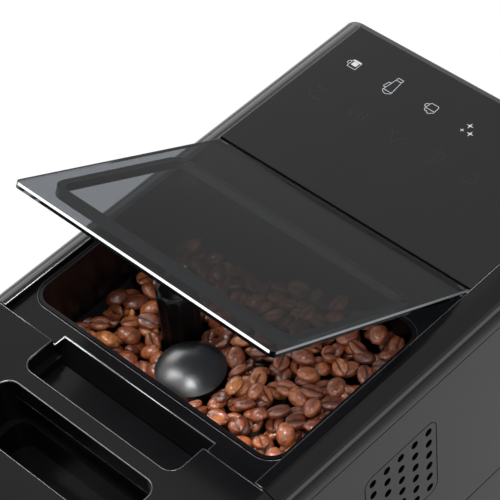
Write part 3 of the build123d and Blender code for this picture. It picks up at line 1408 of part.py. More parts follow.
def pump_saddles():
    """Two rubber saddles between pump and base."""
    saddles = []
    for y in (PUMP_Y0 + PUMP_NOSE + SHELL, PUMP_Y1 - PUMP_NOSE - SHELL - SADDLE):
        saddles.append(
            span(PUMP_X - PUMP_R, PUMP_X + PUMP_R, y, y + SADDLE, BASE_TOP, PUMP_Z - PUMP_R - SHELL),
        )
    return saddles


SADDLE = 10.0


def main_board():
    """Power and control board on the back wall with its relays and capacitors."""
    y1 = BULK_Y
    board = span(
        BOARD_X0, BOARD_X1, y1 - BOARD_STAND - BOARD_THICK, y1 - BOARD_STAND, BOARD_Z0, BOARD_Z1,
    )
    for x in (BOARD_X0 + 2 * SHELL, BOARD_X1 - 2 * SHELL):
        for z in (BOARD_Z0 + 2 * SHELL, BOARD_Z1 - 2 * SHELL):
            board += rod_y(x, y1 - BOARD_STAND, y1, z, SHELL)
    face = y1 - BOARD_STAND - BOARD_THICK
    for i in range(RELAYS):
        x = BOARD_X0 + RELAY_STEP * (i + RELAY_SHARE)
        board += span(
            x, x + RELAY_STEP * RELAY_SHARE, face - RELAY_HEIGHT, face,
            BOARD_Z0 + 4 * SHELL, BOARD_Z0 + 8 * SHELL,
        )
    for i in range(CAPACITORS):
        board += rod_y(
            BOARD_X1 - RELAY_STEP * (i + CAPACITOR_SHARE), face - RELAY_HEIGHT,
            face, BOARD_Z1 - 6 * SHELL, 3 * SHELL,
        )
    return board


BOARD_STAND = 3.0
RELAYS = 5
RELAY_STEP = 24.0
RELAY_SHARE = 0.6
CAPACITORS = 2
CAPACITOR_SHARE = 0.7
RELAY_HEIGHT = 12.0


def power_inlet():
    """Appliance inlet with three pins in the lower back."""
    inlet = span(
        INLET_BLOCK_X - PORT_HALF_X, INLET_BLOCK_X + PORT_HALF_X, REAR - PORT_DEPTH, REAR - SHELL,
        PORT_Z - PORT_HALF_Z, PORT_Z + PORT_HALF_Z,
    )
    inlet -= soft_span_y(
        INLET_BLOCK_X - PORT_HALF_X + SHELL, INLET_BLOCK_X + PORT_HALF_X - SHELL,
        REAR - PORT_DEPTH + SHELL, REAR + CUT,
        PORT_Z - PORT_HALF_Z + SHELL, PORT_Z + PORT_HALF_Z - SHELL, SHELL,
    )
    for x, z in ((-PIN_SPREAD, 0), (PIN_SPREAD, 0), (0, PIN_SPREAD / 2)):
        inlet += span(
            INLET_BLOCK_X + x - CUT, INLET_BLOCK_X + x + CUT,
            REAR - PORT_DEPTH + SHELL, REAR - SHELL - CUT,
            PORT_Z + z - 2 * CUT, PORT_Z + z + 2 * CUT,
        )
    return inlet


PORT_HALF_X = 15.0
PORT_HALF_Z = 12.0
PORT_DEPTH = 22.0
PIN_SPREAD = 7.0


def switch_frame():
    """Bezel that holds the mains rocker."""
    frame = span(
        SWITCH_X - SWITCH_HALF_X, SWITCH_X + SWITCH_HALF_X, REAR - SWITCH_DEPTH, REAR - SHELL,
        PORT_Z - SWITCH_HALF_Z, PORT_Z + SWITCH_HALF_Z,
    )
    frame -= span(
        SWITCH_X - SWITCH_HALF_X + CUT, SWITCH_X + SWITCH_HALF_X - CUT,
        REAR - SWITCH_DEPTH + SHELL, REAR + CUT,
        PORT_Z - SWITCH_HALF_Z + CUT, PORT_Z + SWITCH_HALF_Z - CUT,
    )
    frame -= rod_x(
        SWITCH_X - SWITCH_HALF_X + CUT / 4, SWITCH_X + SWITCH_HALF_X - CUT / 4, ROCKER_Y, PORT_Z,
        ROCKER_AXLE_R + SHAFT_FIT,
    )
    return frame


SWITCH_HALF_X = 8.0
SWITCH_HALF_Z = 11.0
SWITCH_DEPTH = 14.0


def power_switch():
    """Rocker that tips about its middle."""
    reach = SWITCH_HALF_Z - 2 * CUT
    profile = Polygon(
        (0, -reach), (ROCKER_RISE, -reach * ROCKER_END_SHARE), (ROCKER_RISE * ROCKER_DIP_SHARE, 0),
        (ROCKER_RISE, reach * ROCKER_END_SHARE), (0, reach),
        (-ROCKER_RISE, 0), align=None,
    )
    plane = Plane(
        origin=(SWITCH_X - SWITCH_HALF_X + 2 * CUT, ROCKER_Y, PORT_Z), x_dir=(0, 1, 0), z_dir=(1, 0, 0),
    )
    rocker = extrude(plane * profile, 2 * (SWITCH_HALF_X - 2 * CUT))
    axle = SWITCH_HALF_X - CUT / 2
    rocker += rod_x(SWITCH_X - axle, SWITCH_X + axle, ROCKER_Y, PORT_Z, ROCKER_AXLE_R)
    return rocker.rotate(Axis((SWITCH_X, ROCKER_Y, PORT_Z), (1, 0, 0)), ROCKER_TILT)


ROCKER_AXLE_R = 1.0
ROCKER_TILT = -9.0
ROCKER_RISE = 2.0
ROCKER_END_SHARE = 0.85
ROCKER_DIP_SHARE = 0.4
ROCKER_INSET = 5.6
ROCKER_Y = REAR - ROCKER_INSET


PIECES = {
    "base_plate": base_plate,
    "rubber_feet": rubber_feet,
    "chassis_frame": chassis_frame,
    "side_panel_left": side_panel_left,
    "side_panel_right": side_panel_right,
    "front_fascia": front_fascia,
    "bay_liner": bay_liner,
    "spout_recess": spout_recess,
    "top_housing": top_housing,
    "rear_cover": rear_cover,
    "rear_panel": rear_panel,
    "touch_panel": touch_panel,
    "control_board": control_board,
    "hopper_tub": hopper_tub,
    "inlet_guard": inlet_guard,
    "coffee_beans": coffee_beans,
    "grind_knob": grind_knob,
    "knob_shaft": knob_shaft,
    "adjusting_ring": adjusting_ring,
    "upper_burr": upper_burr,
    "lower_burr": lower_burr,
    "burr_shaft": burr_shaft,
    "grinder_body": grinder_body,
    "grinder_motor": grinder_motor,
    "lid_plate": lambda: opened(lid_plate()),
    "lid_frame": lambda: opened(lid_frame()),
    "hinge_pins": lambda: [opened(pin) for pin in hinge_pins()],
    "drip_tray": drip_tray,
    "drip_grid": drip_grid,
    "grid_end": grid_end,
    "tray_float": tray_float,
    "grounds_container": grounds_container,
    "spout_body": spout_body,
    "spout_nozzles": spout_nozzles,
    "spout_rail": spout_rail,
    "tank_shell": tank_shell,
    "tank_valve": tank_valve,
    "tank_socket": tank_socket,
    "tank_filter": tank_filter,
    "brew_frame": brew_frame,
    "brew_chamber": brew_chamber,
    "brew_piston": brew_piston,
    "service_door": service_door,
    "door_pins": door_pins,
    "thermoblock": thermoblock,
    "water_pump": water_pump,
    "pump_saddles": pump_saddles,
    "main_board": main_board,
    "power_inlet": power_inlet,
    "switch_frame": switch_frame,
    "power_switch": power_switch,
}

for name, make in PIECES.items():
    save(make(), name)
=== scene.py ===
import json
import math
import random

import bmesh
import bpy
from mathutils import Matrix, Vector


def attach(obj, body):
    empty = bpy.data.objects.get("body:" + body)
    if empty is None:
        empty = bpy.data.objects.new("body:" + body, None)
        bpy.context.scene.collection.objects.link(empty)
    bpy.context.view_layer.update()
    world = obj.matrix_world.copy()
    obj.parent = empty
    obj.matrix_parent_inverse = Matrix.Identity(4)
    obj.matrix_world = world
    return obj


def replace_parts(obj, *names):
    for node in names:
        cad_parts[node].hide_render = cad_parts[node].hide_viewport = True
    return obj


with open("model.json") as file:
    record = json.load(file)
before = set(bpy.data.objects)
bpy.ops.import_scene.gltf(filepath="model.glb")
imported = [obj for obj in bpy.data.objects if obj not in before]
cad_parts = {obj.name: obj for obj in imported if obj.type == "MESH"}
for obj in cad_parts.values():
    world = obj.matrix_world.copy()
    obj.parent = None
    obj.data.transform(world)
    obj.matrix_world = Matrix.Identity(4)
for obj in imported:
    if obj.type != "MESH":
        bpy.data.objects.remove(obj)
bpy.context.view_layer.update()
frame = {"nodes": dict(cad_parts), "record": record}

MM = 0.001
NODES = frame["nodes"]

# Machine sizes in millimetres, as the CAD has them
TOP = 320.0
DECK = TOP - 4.0
BAR_TOP = TOP - 12.4
TUB_X = (-79.4, 82.6)
TUB_Y = (-25.2, 77.2)
KNOB_X, KNOB_Y, KNOB_CLEAR_R = 0.6, 52.2, 18.6
GUARD_X, GUARD_Y, GUARD_CLEAR_R = 32.6, 28.2, 11.2
LID_AXIS = Vector((0, -56.3, 318.1))
LID_OPEN = math.radians(28.5)
LID_X = (-80.7, 83.9)
LID_FREE_Y = 90.9

# Camera at the photograph's place, solved from the machine's straight edges
CAMERA_PLACE = Vector((-536.94114, 487.57888, 1107.97622))
CAMERA_RIGHT = Vector((-0.72319563, -0.68642651, -0.07620191))
CAMERA_UP = Vector((0.46394666, -0.5645804, 0.68264374))
CAMERA_BACK = Vector((-0.51160686, 0.45833134, 0.72676736))
SENSOR_WIDTH = 36.0
LENS = 159.92
CLIP_NEAR, CLIP_FAR = 0.01, 50.0


def photo_camera():
    data = bpy.data.cameras.new("photo_camera")
    data.sensor_fit = "HORIZONTAL"
    data.sensor_width = SENSOR_WIDTH
    data.lens = LENS
    data.clip_start = CLIP_NEAR
    data.clip_end = CLIP_FAR
    camera = bpy.data.objects.new("photo_camera", data)
    turn = Matrix((CAMERA_RIGHT, CAMERA_UP, CAMERA_BACK)).transposed().to_4x4()
    camera.matrix_world = Matrix.Translation(CAMERA_PLACE * MM) @ turn
    bpy.context.scene.collection.objects.link(camera)
    bpy.context.scene.camera = camera


photo_camera()


# Shader maths as plain expressions
class Value:
    """One output socket; sums and products of it add their Math nodes."""

    def __init__(self, finish, socket):
        self.finish = finish
        self.socket = socket

    def maths(self, operation, *others, swap=False):
        terms = (others[0], self) if swap else (self, *others)
        return self.finish.node("ShaderNodeMath", {"operation": operation}, dict(enumerate(terms)))

    def __add__(self, other):
        return self.maths("ADD", other)

    def __radd__(self, other):
        return self.maths("ADD", other)

    def __sub__(self, other):
        return self.maths("SUBTRACT", other)

    def __rsub__(self, other):
        return self.maths("SUBTRACT", other, swap=True)

    def __mul__(self, other):
        return self.maths("MULTIPLY", other)

    def __rmul__(self, other):
        return self.maths("MULTIPLY", other)

    def __gt__(self, other):
        return self.maths("GREATER_THAN", other)

    def __abs__(self):
        return self.maths("ABSOLUTE")

    def sine(self):
        return self.maths("SINE")

    def higher(self, other):
        return self.maths("MAXIMUM", other)

    def ramp(self, low, high):
        """A smooth step from 0 at low to 1 at high."""
        return self.finish.node(
            "ShaderNodeMapRange", {"interpolation_type": "SMOOTHSTEP"},
            {"Value": self, "From Min": low, "From Max": high},
        )


class Finish:
    """A material or world: one method adds any node, settings first."""

    def __init__(self, name, owners=bpy.data.materials):
        self.owner = owners.new(name)
        self.owner.use_nodes = True
        self.tree = self.owner.node_tree
        self.tree.nodes.clear()

    def node(self, kind, settings=None, sockets=None, out=0):
        made = self.tree.nodes.new(kind)
        for key, value in (settings or {}).items():
            if key == "stops":
                self.set_stops(made.color_ramp, value)
            else:
                setattr(made, key, value)
        for key, value in (sockets or {}).items():
            if isinstance(value, Value):
                self.tree.links.new(value.socket, made.inputs[key])
            else:
                made.inputs[key].default_value = value
        return Value(self, made.outputs[out]) if made.outputs else None

    @staticmethod
    def set_stops(ramp, stops):
        while len(ramp.elements) < len(stops):
            ramp.elements.new(0.5)
        for element, (place, colour) in zip(ramp.elements, stops):
            element.position = place
            element.color = colour

    def place(self):
        """The object's own coordinates, in metres."""
        return self.node("ShaderNodeTexCoord", out="Object")

    def part(self, axis, whole):
        """The X, Y or Z of a place."""
        return self.node("ShaderNodeSeparateXYZ", sockets={"Vector": whole}, out=axis)

    def attribute(self, name):
        return self.node("ShaderNodeAttribute", {"attribute_name": name}, out="Fac")

    def noise(self, size_mm, detail, rough=0.5, stretch=(1, 1, 1)):
        """Noise whose blotches are about that many millimetres across."""
        scaled = self.node(
            "ShaderNodeMapping", {"vector_type": "POINT"},
            {"Vector": self.place(), "Scale": tuple(s / (size_mm * MM) for s in stretch)},
        )
        return self.node(
            "ShaderNodeTexNoise", {"noise_dimensions": "3D"},
            {"Vector": scaled, "Scale": 1.0, "Detail": detail, "Roughness": rough}, out="Fac",
        )

    def mix(self, factor, first, second):
        """A blend of two colours, which are the Mix node's sockets 6 and 7."""
        return self.node(
            "ShaderNodeMix", {"data_type": "RGBA"}, {"Factor": factor, 6: first, 7: second}, out=2,
        )

    def either(self, factor, first, second):
        """The first shader where the factor is 0, and the second where it is 1."""
        return self.node("ShaderNodeMixShader", sockets={0: factor, 1: first, 2: second})

    def bump(self, height, strength, distance_mm):
        return self.node(
            "ShaderNodeBump", sockets={"Height": height, "Strength": strength, "Distance": distance_mm * MM},
        )

    def surface(self, **sockets):
        named = {key.replace("_", " "): value for key, value in sockets.items()}
        return self.node("ShaderNodeBsdfPrincipled", sockets=named)

    def ray(self, kind):
        return self.node("ShaderNodeLightPath", out=kind)

    def finish(self, shader):
        self.node("ShaderNodeOutputMaterial", sockets={"Surface": shader})
        return self.owner


def rgb(red, green, blue):
    """A colour given as 0 to 255, as screens show it."""
    return (*(linear(channel / 255) for channel in (red, green, blue)), 1.0)


def linear(screen):
    """A screen's brightness, 0 to 1, as an amount of light, by the sRGB standard."""
    return ((screen + 0.055) / 1.055) ** 2.4 if screen > 0.04045 else screen / 12.92


# Plastics, metals and the rest
def moulded(name, dark, light, roughness, grain_mm, grain, coat=0.0, specular=0.5):
    """Moulded plastic: fine grain, faint clouding and a few handling marks."""
    f = Finish(name)
    cloud = f.noise(38, detail=3.0)
    marks = f.noise(9, detail=4.0, rough=0.6, stretch=(1, 0.25, 1))
    skin = f.noise(grain_mm, detail=1.0)
    return f.finish(f.surface(
        Base_Color=f.mix(cloud.ramp(0.3, 0.7), dark, light),
        Roughness=roughness + (cloud - 0.5) * 0.05 + marks.ramp(0.58, 0.72) * 0.02,
        Specular_IOR_Level=specular, Coat_Weight=coat, Coat_Roughness=0.06,
        Normal=f.bump(skin, strength=grain, distance_mm=0.03),
    ))


def touch_glass():
    """The touch panel: smooth black with a faint haze of wiping."""
    f = Finish("panel_glass")
    haze = f.noise(30, detail=4.0, rough=0.6, stretch=(1, 0.3, 1)).ramp(0.3, 0.8)
    return f.finish(f.surface(
        Base_Color=f.mix(haze, rgb(20, 20, 21), rgb(21, 21, 22)),
        Roughness=0.14 + haze * 0.02, Specular_IOR_Level=0.2,
    ))


def fascia_paint():
    """Dark grey satin paint with very fine metal flake."""
    f = Finish("fascia_grey")
    flake = f.noise(0.35, detail=1.0)
    cloud = f.noise(45, detail=2.0)
    return f.finish(f.surface(
        Base_Color=f.mix(flake.ramp(0.35, 0.7), rgb(38, 39, 40), rgb(50, 51, 52)),
        Metallic=0.1, Roughness=0.34 + cloud * 0.06, Specular_IOR_Level=0.3,
        Normal=f.bump(flake, strength=0.06, distance_mm=0.02),
    ))


def tank_smoke():
    """The water tank's lightly smoked clear plastic."""
    f = Finish("tank_clear")
    haze = f.noise(25, detail=3.0, rough=0.6)
    return f.finish(f.surface(
        Base_Color=rgb(160, 166, 170), Roughness=0.03 + haze.ramp(0.5, 0.8) * 0.04,
        IOR=1.45, Transmission_Weight=1.0,
    ))


# The lid's painted edge highlight and painted side sheen: how far in they reach, and from how high above its
# hinge axis, in millimetres
LID_FREE_HIGHLIGHT_WIDTH, LID_SIDE_SHEEN_WIDTH = 0.12, 0.1
LID_HIGHLIGHT_FROM_Z = 0.6


def lid_smoke_with_painted_edges():
    """The lid's smoked plate, with a painted highlight along its free edge, pale and faintly glowing, and a
    painted grey sheen along its sides.
    """
    f = Finish("lid_smoke_with_painted_edges")
    turned = f.node(
        "ShaderNodeMapping", {"vector_type": "TEXTURE"},
        {"Vector": f.place(), "Location": tuple(LID_AXIS * MM), "Rotation": (LID_OPEN, 0.0, 0.0)},
    )
    highlight_height_mask = f.part("Z", turned) > LID_HIGHLIGHT_FROM_Z * MM
    # Painted highlight: the upper part of the free edge, made pale and faintly glowing
    free = (f.part("Y", turned) > (LID_FREE_Y - LID_AXIS.y - LID_FREE_HIGHLIGHT_WIDTH) * MM) * highlight_height_mask
    middle = (LID_X[0] + LID_X[1]) / 2
    half = (LID_X[1] - LID_X[0]) / 2
    # Painted sheen: the upper part of the sides, made opaque pale grey
    side_sheen_mask = (abs(f.part("X", f.place()) - middle * MM) > (half - LID_SIDE_SHEEN_WIDTH) * MM) * highlight_height_mask
    haze = f.noise(25, detail=3.0, rough=0.6)
    clear = f.surface(
        Base_Color=rgb(109, 112, 117), Roughness=0.03 + haze.ramp(0.5, 0.8) * 0.03,
        IOR=1.12, Transmission_Weight=1.0,
    )
    # Opaque grey for the painted side sheen, then pale glowing white for the painted edge highlight
    painted_side_sheen = f.surface(Base_Color=rgb(112, 115, 118), Roughness=0.3)
    painted_edge_highlight = f.surface(
        Base_Color=rgb(226, 228, 230), Roughness=0.25,
        Emission_Color=rgb(235, 238, 240), Emission_Strength=0.25,
    )
    return f.finish(f.either(free, f.either(side_sheen_mask, clear, painted_side_sheen), painted_edge_highlight))


def brushed_steel():
    """Brushed steel with its grain from front to back."""
    f = Finish("steel")
    grain = f.noise(2.0, detail=3.0, rough=0.7, stretch=(6.0, 0.15, 6.0))
    return f.finish(f.surface(
        Base_Color=f.mix(grain.ramp(0.3, 0.7), rgb(150, 152, 156), rgb(196, 197, 200)),
        Metallic=1.0, Roughness=0.28 + grain * 0.14,
        Normal=f.bump(grain, strength=0.08, distance_mm=0.02),
    ))


def cast_alloy():
    """As-cast aluminium."""
    f = Finish("cast_alloy")
    sand = f.noise(0.9, detail=3.0, rough=0.7)
    return f.finish(f.surface(
        Base_Color=f.mix(sand.ramp(0.3, 0.7), rgb(150, 152, 155), rgb(188, 189, 192)),
        Metallic=1.0, Roughness=0.42 + sand * 0.2,
        Normal=f.bump(sand, strength=0.5, distance_mm=0.15),
    ))


def foot_rubber():
    """Black rubber, matt and slightly pitted."""
    f = Finish("foot_rubber")
    skin = f.noise(0.8, detail=3.0, rough=0.7)
    return f.finish(f.surface(
        Base_Color=f.mix(skin.ramp(0.3, 0.7), rgb(26, 26, 27), rgb(38, 38, 39)),
        Roughness=0.75 + skin * 0.15, Specular_IOR_Level=0.25,
        Normal=f.bump(skin, strength=0.4, distance_mm=0.1),
    ))


# Board tracks: radians a metre across and up the board, and how many radians they wander
LANE_RATE, LANE_WANDER = 2100.0, 14.0
CROSS_RATE, CROSS_WANDER = 1900.0, 12.0


def board_green():
    """Green solder mask with copper tracks just below it."""
    f = Finish("board_green")
    lanes = f.part("X", f.place()) * LANE_RATE + f.noise(9, detail=0.0) * LANE_WANDER
    cross = f.part("Z", f.place()) * CROSS_RATE + f.noise(7, detail=0.0) * CROSS_WANDER
    tracks = lanes.sine().ramp(0.55, 0.7).higher(cross.sine().ramp(0.7, 0.85))
    return f.finish(f.surface(
        Base_Color=f.mix(tracks, rgb(14, 62, 36), rgb(34, 98, 56)), Roughness=0.32,
        Normal=f.bump(tracks, strength=0.3, distance_mm=0.05),
    ))


# Roasts from the darkest bean to the palest
ROASTS = (
    (0.0, rgb(92, 40, 22)), (0.35, rgb(156, 82, 46)), (0.65, rgb(198, 112, 64)),
    (0.85, rgb(220, 136, 72)), (1.0, rgb(244, 190, 92)),
)


def bean_skin():
    """Roasted beans: each its own roast colour, with painted shade darkening the crease, its coat taken off
    there, and an oily shine.
    """
    f = Finish("roasted_bean")
    shade = f.node("ShaderNodeValToRGB", {"stops": ROASTS}, {"Fac": f.attribute("roast")})
    # The crease, darkened below as painted shade and left without coat
    crease_painted_shade = f.attribute("crease").ramp(0.5, 0.95)
    wrinkle = f.noise(2.4, detail=3.0, rough=0.6, stretch=(1, 0.6, 1))
    skin = f.mix(wrinkle.ramp(0.4, 0.7) * 0.6, shade, rgb(84, 36, 20))
    return f.finish(f.surface(
        Base_Color=f.mix(crease_painted_shade * 0.9, skin, rgb(40, 16, 9)), Roughness=0.28 + wrinkle * 0.2,
        Coat_Weight=0.9 - crease_painted_shade * 0.8, Coat_Roughness=0.14,
        Normal=f.bump(wrinkle, strength=1.0, distance_mm=0.8),
    ))


def sign_ink(name, colour, worn, glow):
    """A lit or unlit sign, let into the touch panel's top."""
    f = Finish(name)
    speck = f.noise(0.6, detail=1.0).ramp(0.4, 0.8)
    return f.finish(f.surface(
        Base_Color=f.mix(speck * 0.15, colour, worn), Roughness=0.3, Specular_IOR_Level=0.2,
        Emission_Color=colour, Emission_Strength=glow,
    ))


FINISHES = {
    "casing_black": moulded(
        "casing_black", rgb(8, 8, 9), rgb(10, 10, 11),
        roughness=0.18, grain_mm=0.5, grain=0.01, specular=0.2,
    ),
    "hopper_smoke": moulded(
        "hopper_smoke", rgb(11, 9, 11), rgb(15, 12, 14),
        roughness=0.22, grain_mm=0.6, grain=0.02, specular=0.18,
    ),
    "knob_black": moulded(
        "knob_black", rgb(20, 21, 21), rgb(26, 27, 27),
        roughness=0.3, grain_mm=0.5, grain=0.02, specular=1.0,
    ),
    "inner_black": moulded(
        "inner_black", rgb(20, 20, 20), rgb(29, 29, 29),
        roughness=0.55, grain_mm=0.4, grain=0.2,
    ),
    "inner_grey": moulded(
        "inner_grey", rgb(98, 99, 101), rgb(116, 117, 119),
        roughness=0.5, grain_mm=0.4, grain=0.2,
    ),
    "gear_white": moulded(
        "gear_white", rgb(205, 203, 196), rgb(222, 220, 213),
        roughness=0.4, grain_mm=0.4, grain=0.1,
    ),
    "float_red": moulded(
        "float_red", rgb(176, 24, 20), rgb(196, 34, 28),
        roughness=0.25, grain_mm=0.5, grain=0.04,
    ),
    "panel_glass": touch_glass(),
    "fascia_grey": fascia_paint(),
    "smoked_clear": lid_smoke_with_painted_edges(),
    "tank_clear": tank_smoke(),
    "steel": brushed_steel(),
    "cast_alloy": cast_alloy(),
    "foot_rubber": foot_rubber(),
    "board_green": board_green(),
    "roasted_bean": bean_skin(),
}
# The rounded casing edges: coated, and lighter than the casing as a painted highlight
EDGE_HIGHLIGHT_FINISH = moulded(
    "casing_edge_painted_highlight", rgb(30, 30, 31), rgb(36, 36, 37),
    roughness=0.2, grain_mm=0.5, grain=0.0, coat=1.0, specular=1.0,
)
GUARD_FINISH = moulded(
    "guard_black", rgb(10, 8, 10), rgb(14, 11, 13),
    roughness=0.35, grain_mm=0.6, grain=0.02, specular=0.15,
)
SIGN_WHITE = sign_ink("sign_white", rgb(168, 170, 173), worn=rgb(120, 120, 120), glow=0.1)
SIGN_FAINT = sign_ink("sign_faint", rgb(28, 28, 29), worn=rgb(38, 38, 39), glow=0.0)

for subpart in frame["record"]["subparts"]:
    cad_mesh = NODES[subpart["node"]].data
    cad_mesh.materials.clear()
    cad_mesh.materials.append(FINISHES[subpart["material_slot"]])


# Making and keeping pieces
def keep(bm, name, material, body="root", smooth=False):
    """Turns a bmesh in millimetres into a piece that rides on a body."""
    bmesh.ops.scale(bm, vec=(MM, MM, MM), verts=bm.verts)
    bmesh.ops.recalc_face_normals(bm, faces=bm.faces)
    mesh = bpy.data.meshes.new(name)
    bm.to_mesh(mesh)
    bm.free()
    mesh.materials.append(material)
    for polygon in mesh.polygons:
        polygon.use_smooth = smooth
    piece = bpy.data.objects.new(name, mesh)
    bpy.context.scene.collection.objects.link(piece)
    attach(piece, body)
    return piece


# Casing edges, rounded finer than the CAD keeps them; the rounds are coated and lighter than the casing, as
# a painted highlight
COVER_EDGE_R, HOUSING_EDGE_R = 0.6, 0.5
EDGE_SEGMENTS = 3
EDGE_SKIN = 0.06
MERGE_WITHIN = 0.001
FLAT_BELOW = math.radians(1.0)
SHARP_ABOVE = math.radians(40)
LEVEL_WITHIN = 0.1


def softened(node, body, radius, levels):
    """A copy of a CAD node to stand for it, its outer edges at some levels rounded, coated and given a
    lighter base colour as a painted highlight.
    """
    bm = bmesh.new()
    bm.from_mesh(NODES[node].data)
    bmesh.ops.scale(bm, vec=(1 / MM, 1 / MM, 1 / MM), verts=bm.verts)
    bmesh.ops.remove_doubles(bm, verts=bm.verts, dist=MERGE_WITHIN)
    bmesh.ops.dissolve_limit(
        bm, angle_limit=FLAT_BELOW, use_dissolve_boundaries=False, verts=bm.verts, edges=bm.edges,
        delimit=set(),
    )
    sharp = [
        edge for edge in bm.edges
        if len(edge.link_faces) == 2 and edge.is_convex and edge.calc_face_angle(0.0) > SHARP_ABOVE
        and any(max(abs(end.co.z - level) for end in edge.verts) < LEVEL_WITHIN for level in levels)
    ]
    rounded = bmesh.ops.bevel(
        bm, geom=sharp, offset=radius, offset_type="OFFSET", affect="EDGES", segments=EDGE_SEGMENTS,
        profile=0.5, material=-1, clamp_overlap=False,
    )["faces"]
    bm.faces.index_update()
    marked = {face.index for face in rounded if face.is_valid}
    highlight_ribbon = bm.copy()
    highlight_ribbon.faces.index_update()
    rest = [face for face in highlight_ribbon.faces if face.index not in marked]
    bmesh.ops.delete(highlight_ribbon, geom=rest, context="FACES")
    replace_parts(keep(bm, node + "_softened", FINISHES["casing_black"], body), node)
    # The rounds as their own piece, in the lighter finish: a painted highlight
    edges = keep(highlight_ribbon, node + "_edges", EDGE_HIGHLIGHT_FINISH, body, smooth=True)
    skin = edges.modifiers.new("skin", "SOLIDIFY")
    skin.thickness = EDGE_SKIN * MM
    skin.offset = 0.0


softened("rear_cover", "water_tank", COVER_EDGE_R, (TOP, BAR_TOP))
softened("top_housing", "root", HOUSING_EDGE_R, (TOP, DECK))


# Guard over the inlet: a ribbed post with a dished top, on a round flange
GUARD_FOOT, GUARD_TOP = 252.1, TOP - 6.5
GUARD_FLANGE_R, GUARD_FLANGE, GUARD_FLANGE_SLOPE = 17.5, 1.8, 0.2
GUARD_CORE = 9.4
GUARD_RIB, GUARD_RIBS, POINTS_PER_RIB = 1.2, 10, 6
GUARD_PLAIN, GUARD_FADE = 22.0, 1.0
GUARD_LIP, GUARD_LIP_RIB = 0.6, 0.4
GUARD_DISH_RIM, GUARD_DISH_DROP = 1.6, 0.3
GUARD_DISH, GUARD_DISH_DEPTH = 2.4, 3.0

# Height, radius and how far the ribs stand out there, from the foot up
GUARD_ROWS = (
    (GUARD_FOOT, GUARD_FLANGE_R, 0.0),
    (GUARD_FOOT + GUARD_FLANGE, GUARD_FLANGE_R, 0.0),
    (GUARD_FOOT + GUARD_FLANGE + GUARD_FLANGE_SLOPE, GUARD_CORE, 0.0),
    (GUARD_FOOT + GUARD_PLAIN, GUARD_CORE, 0.0),
    (GUARD_FOOT + GUARD_PLAIN + GUARD_FADE, GUARD_CORE, 1.0),
    (GUARD_TOP - GUARD_FADE, GUARD_CORE, 1.0),
    (GUARD_TOP, GUARD_CORE - GUARD_LIP, GUARD_LIP_RIB),
    (GUARD_TOP - GUARD_DISH_DROP, GUARD_CORE - GUARD_DISH_RIM, 0.0),
    (GUARD_TOP - GUARD_DISH_DEPTH, GUARD_CORE - GUARD_DISH, 0.0),
)


def guard_ring(z, radius, ribbed):
    """The places round the guard at one height."""
    points = GUARD_RIBS * POINTS_PER_RIB
    places = []
    for i in range(points):
        angle = 2 * math.pi * i / points
        reach = radius + max(0.0, math.cos(GUARD_RIBS * angle)) * GUARD_RIB * ribbed
        places.append((GUARD_X + reach * math.cos(angle), GUARD_Y + reach * math.sin(angle), z))
    return places


def inlet_guard():
    bm = bmesh.new()
    cap = bm.faces.new([bm.verts.new(place) for place in guard_ring(*GUARD_ROWS[0])])
    for row in GUARD_ROWS[1:]:
        grown = bmesh.ops.extrude_face_region(bm, geom=[cap, *cap.edges])["geom"]
        cap = next(part for part in grown if isinstance(part, bmesh.types.BMFace))
        for corner, place in zip(cap.verts, guard_ring(*row)):
            corner.co = place
    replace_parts(keep(bm, "guard_post", GUARD_FINISH, smooth=True), "inlet_guard")


inlet_guard()


# Coffee beans: half their length, width and height, then the flatter face and its crease
BEAN_LONG, BEAN_WIDE, BEAN_HIGH = 6.0, 4.6, 3.3
BEAN_SEGMENTS, BEAN_RINGS = 16, 8
BEAN_FACE_SHARE = 0.62
BEAN_TAPER_SHARE = 0.06
CREASE_HALF_SHARE = 0.2
CREASE_SHORT_SHARE = 0.2
CREASE_DEPTH, CREASE_SWING, CREASE_BEND = 1.5, 0.45, 2.6

# The heap's top in x and z, as the CAD solid has it, and the height that clears the shut lid's frame
HEAP_KNOTS = ((-80.4, 310.4), (-30.8, 307.4), (0.6, 296.0), (32.6, 282.0), (83.6, 279.0))
BEANS_TOP = 312.1

# Layers from the lowest: how far below the heap's top, the least spacing, and how many places are tried
BEAN_LAYERS = ((8.6, 9.4, 1500), (5.4, 8.8, 2600), (2.2, 8.8, 3600))
BEAN_SEED = 58
WALL_GAP, POST_GAP = 5.0, 3.6
SLOPE_REACH = 2.0
FACE_UP_SHARE = 0.55
ROLL_SPREAD, PITCH_SPREAD = 0.33, 0.3
BEAN_SIZES = (0.86, 1.06)
HEIGHT_SPREAD = 0.8
ROAST_SHAPE, ROAST_RANGE = (2.2, 2.6), 0.9
PALE_SHARE, PALE_LIFT = 0.05, 0.12


def heap_height(x):
    """The heap's top over x: a smooth curve through its knots."""
    knots = HEAP_KNOTS
    x = min(max(x, knots[0][0]), knots[-1][0])
    i = next(i for i in range(len(knots) - 1) if x <= knots[i + 1][0])
    (x0, z0), (x1, z1) = knots[i], knots[i + 1]
    s0 = (z1 - knots[i - 1][1]) / (x1 - knots[i - 1][0]) if i else 0.0
    s1 = (knots[i + 2][1] - z0) / (knots[i + 2][0] - x0) if i + 2 < len(knots) else 0.0
    t = (x - x0) / (x1 - x0)
    h = x1 - x0
    return (
        z0 * (1 + 2 * t) * (1 - t) ** 2 + s0 * h * t * (1 - t) ** 2
        + z1 * t * t * (3 - 2 * t) + s1 * h * t * t * (t - 1)
    )


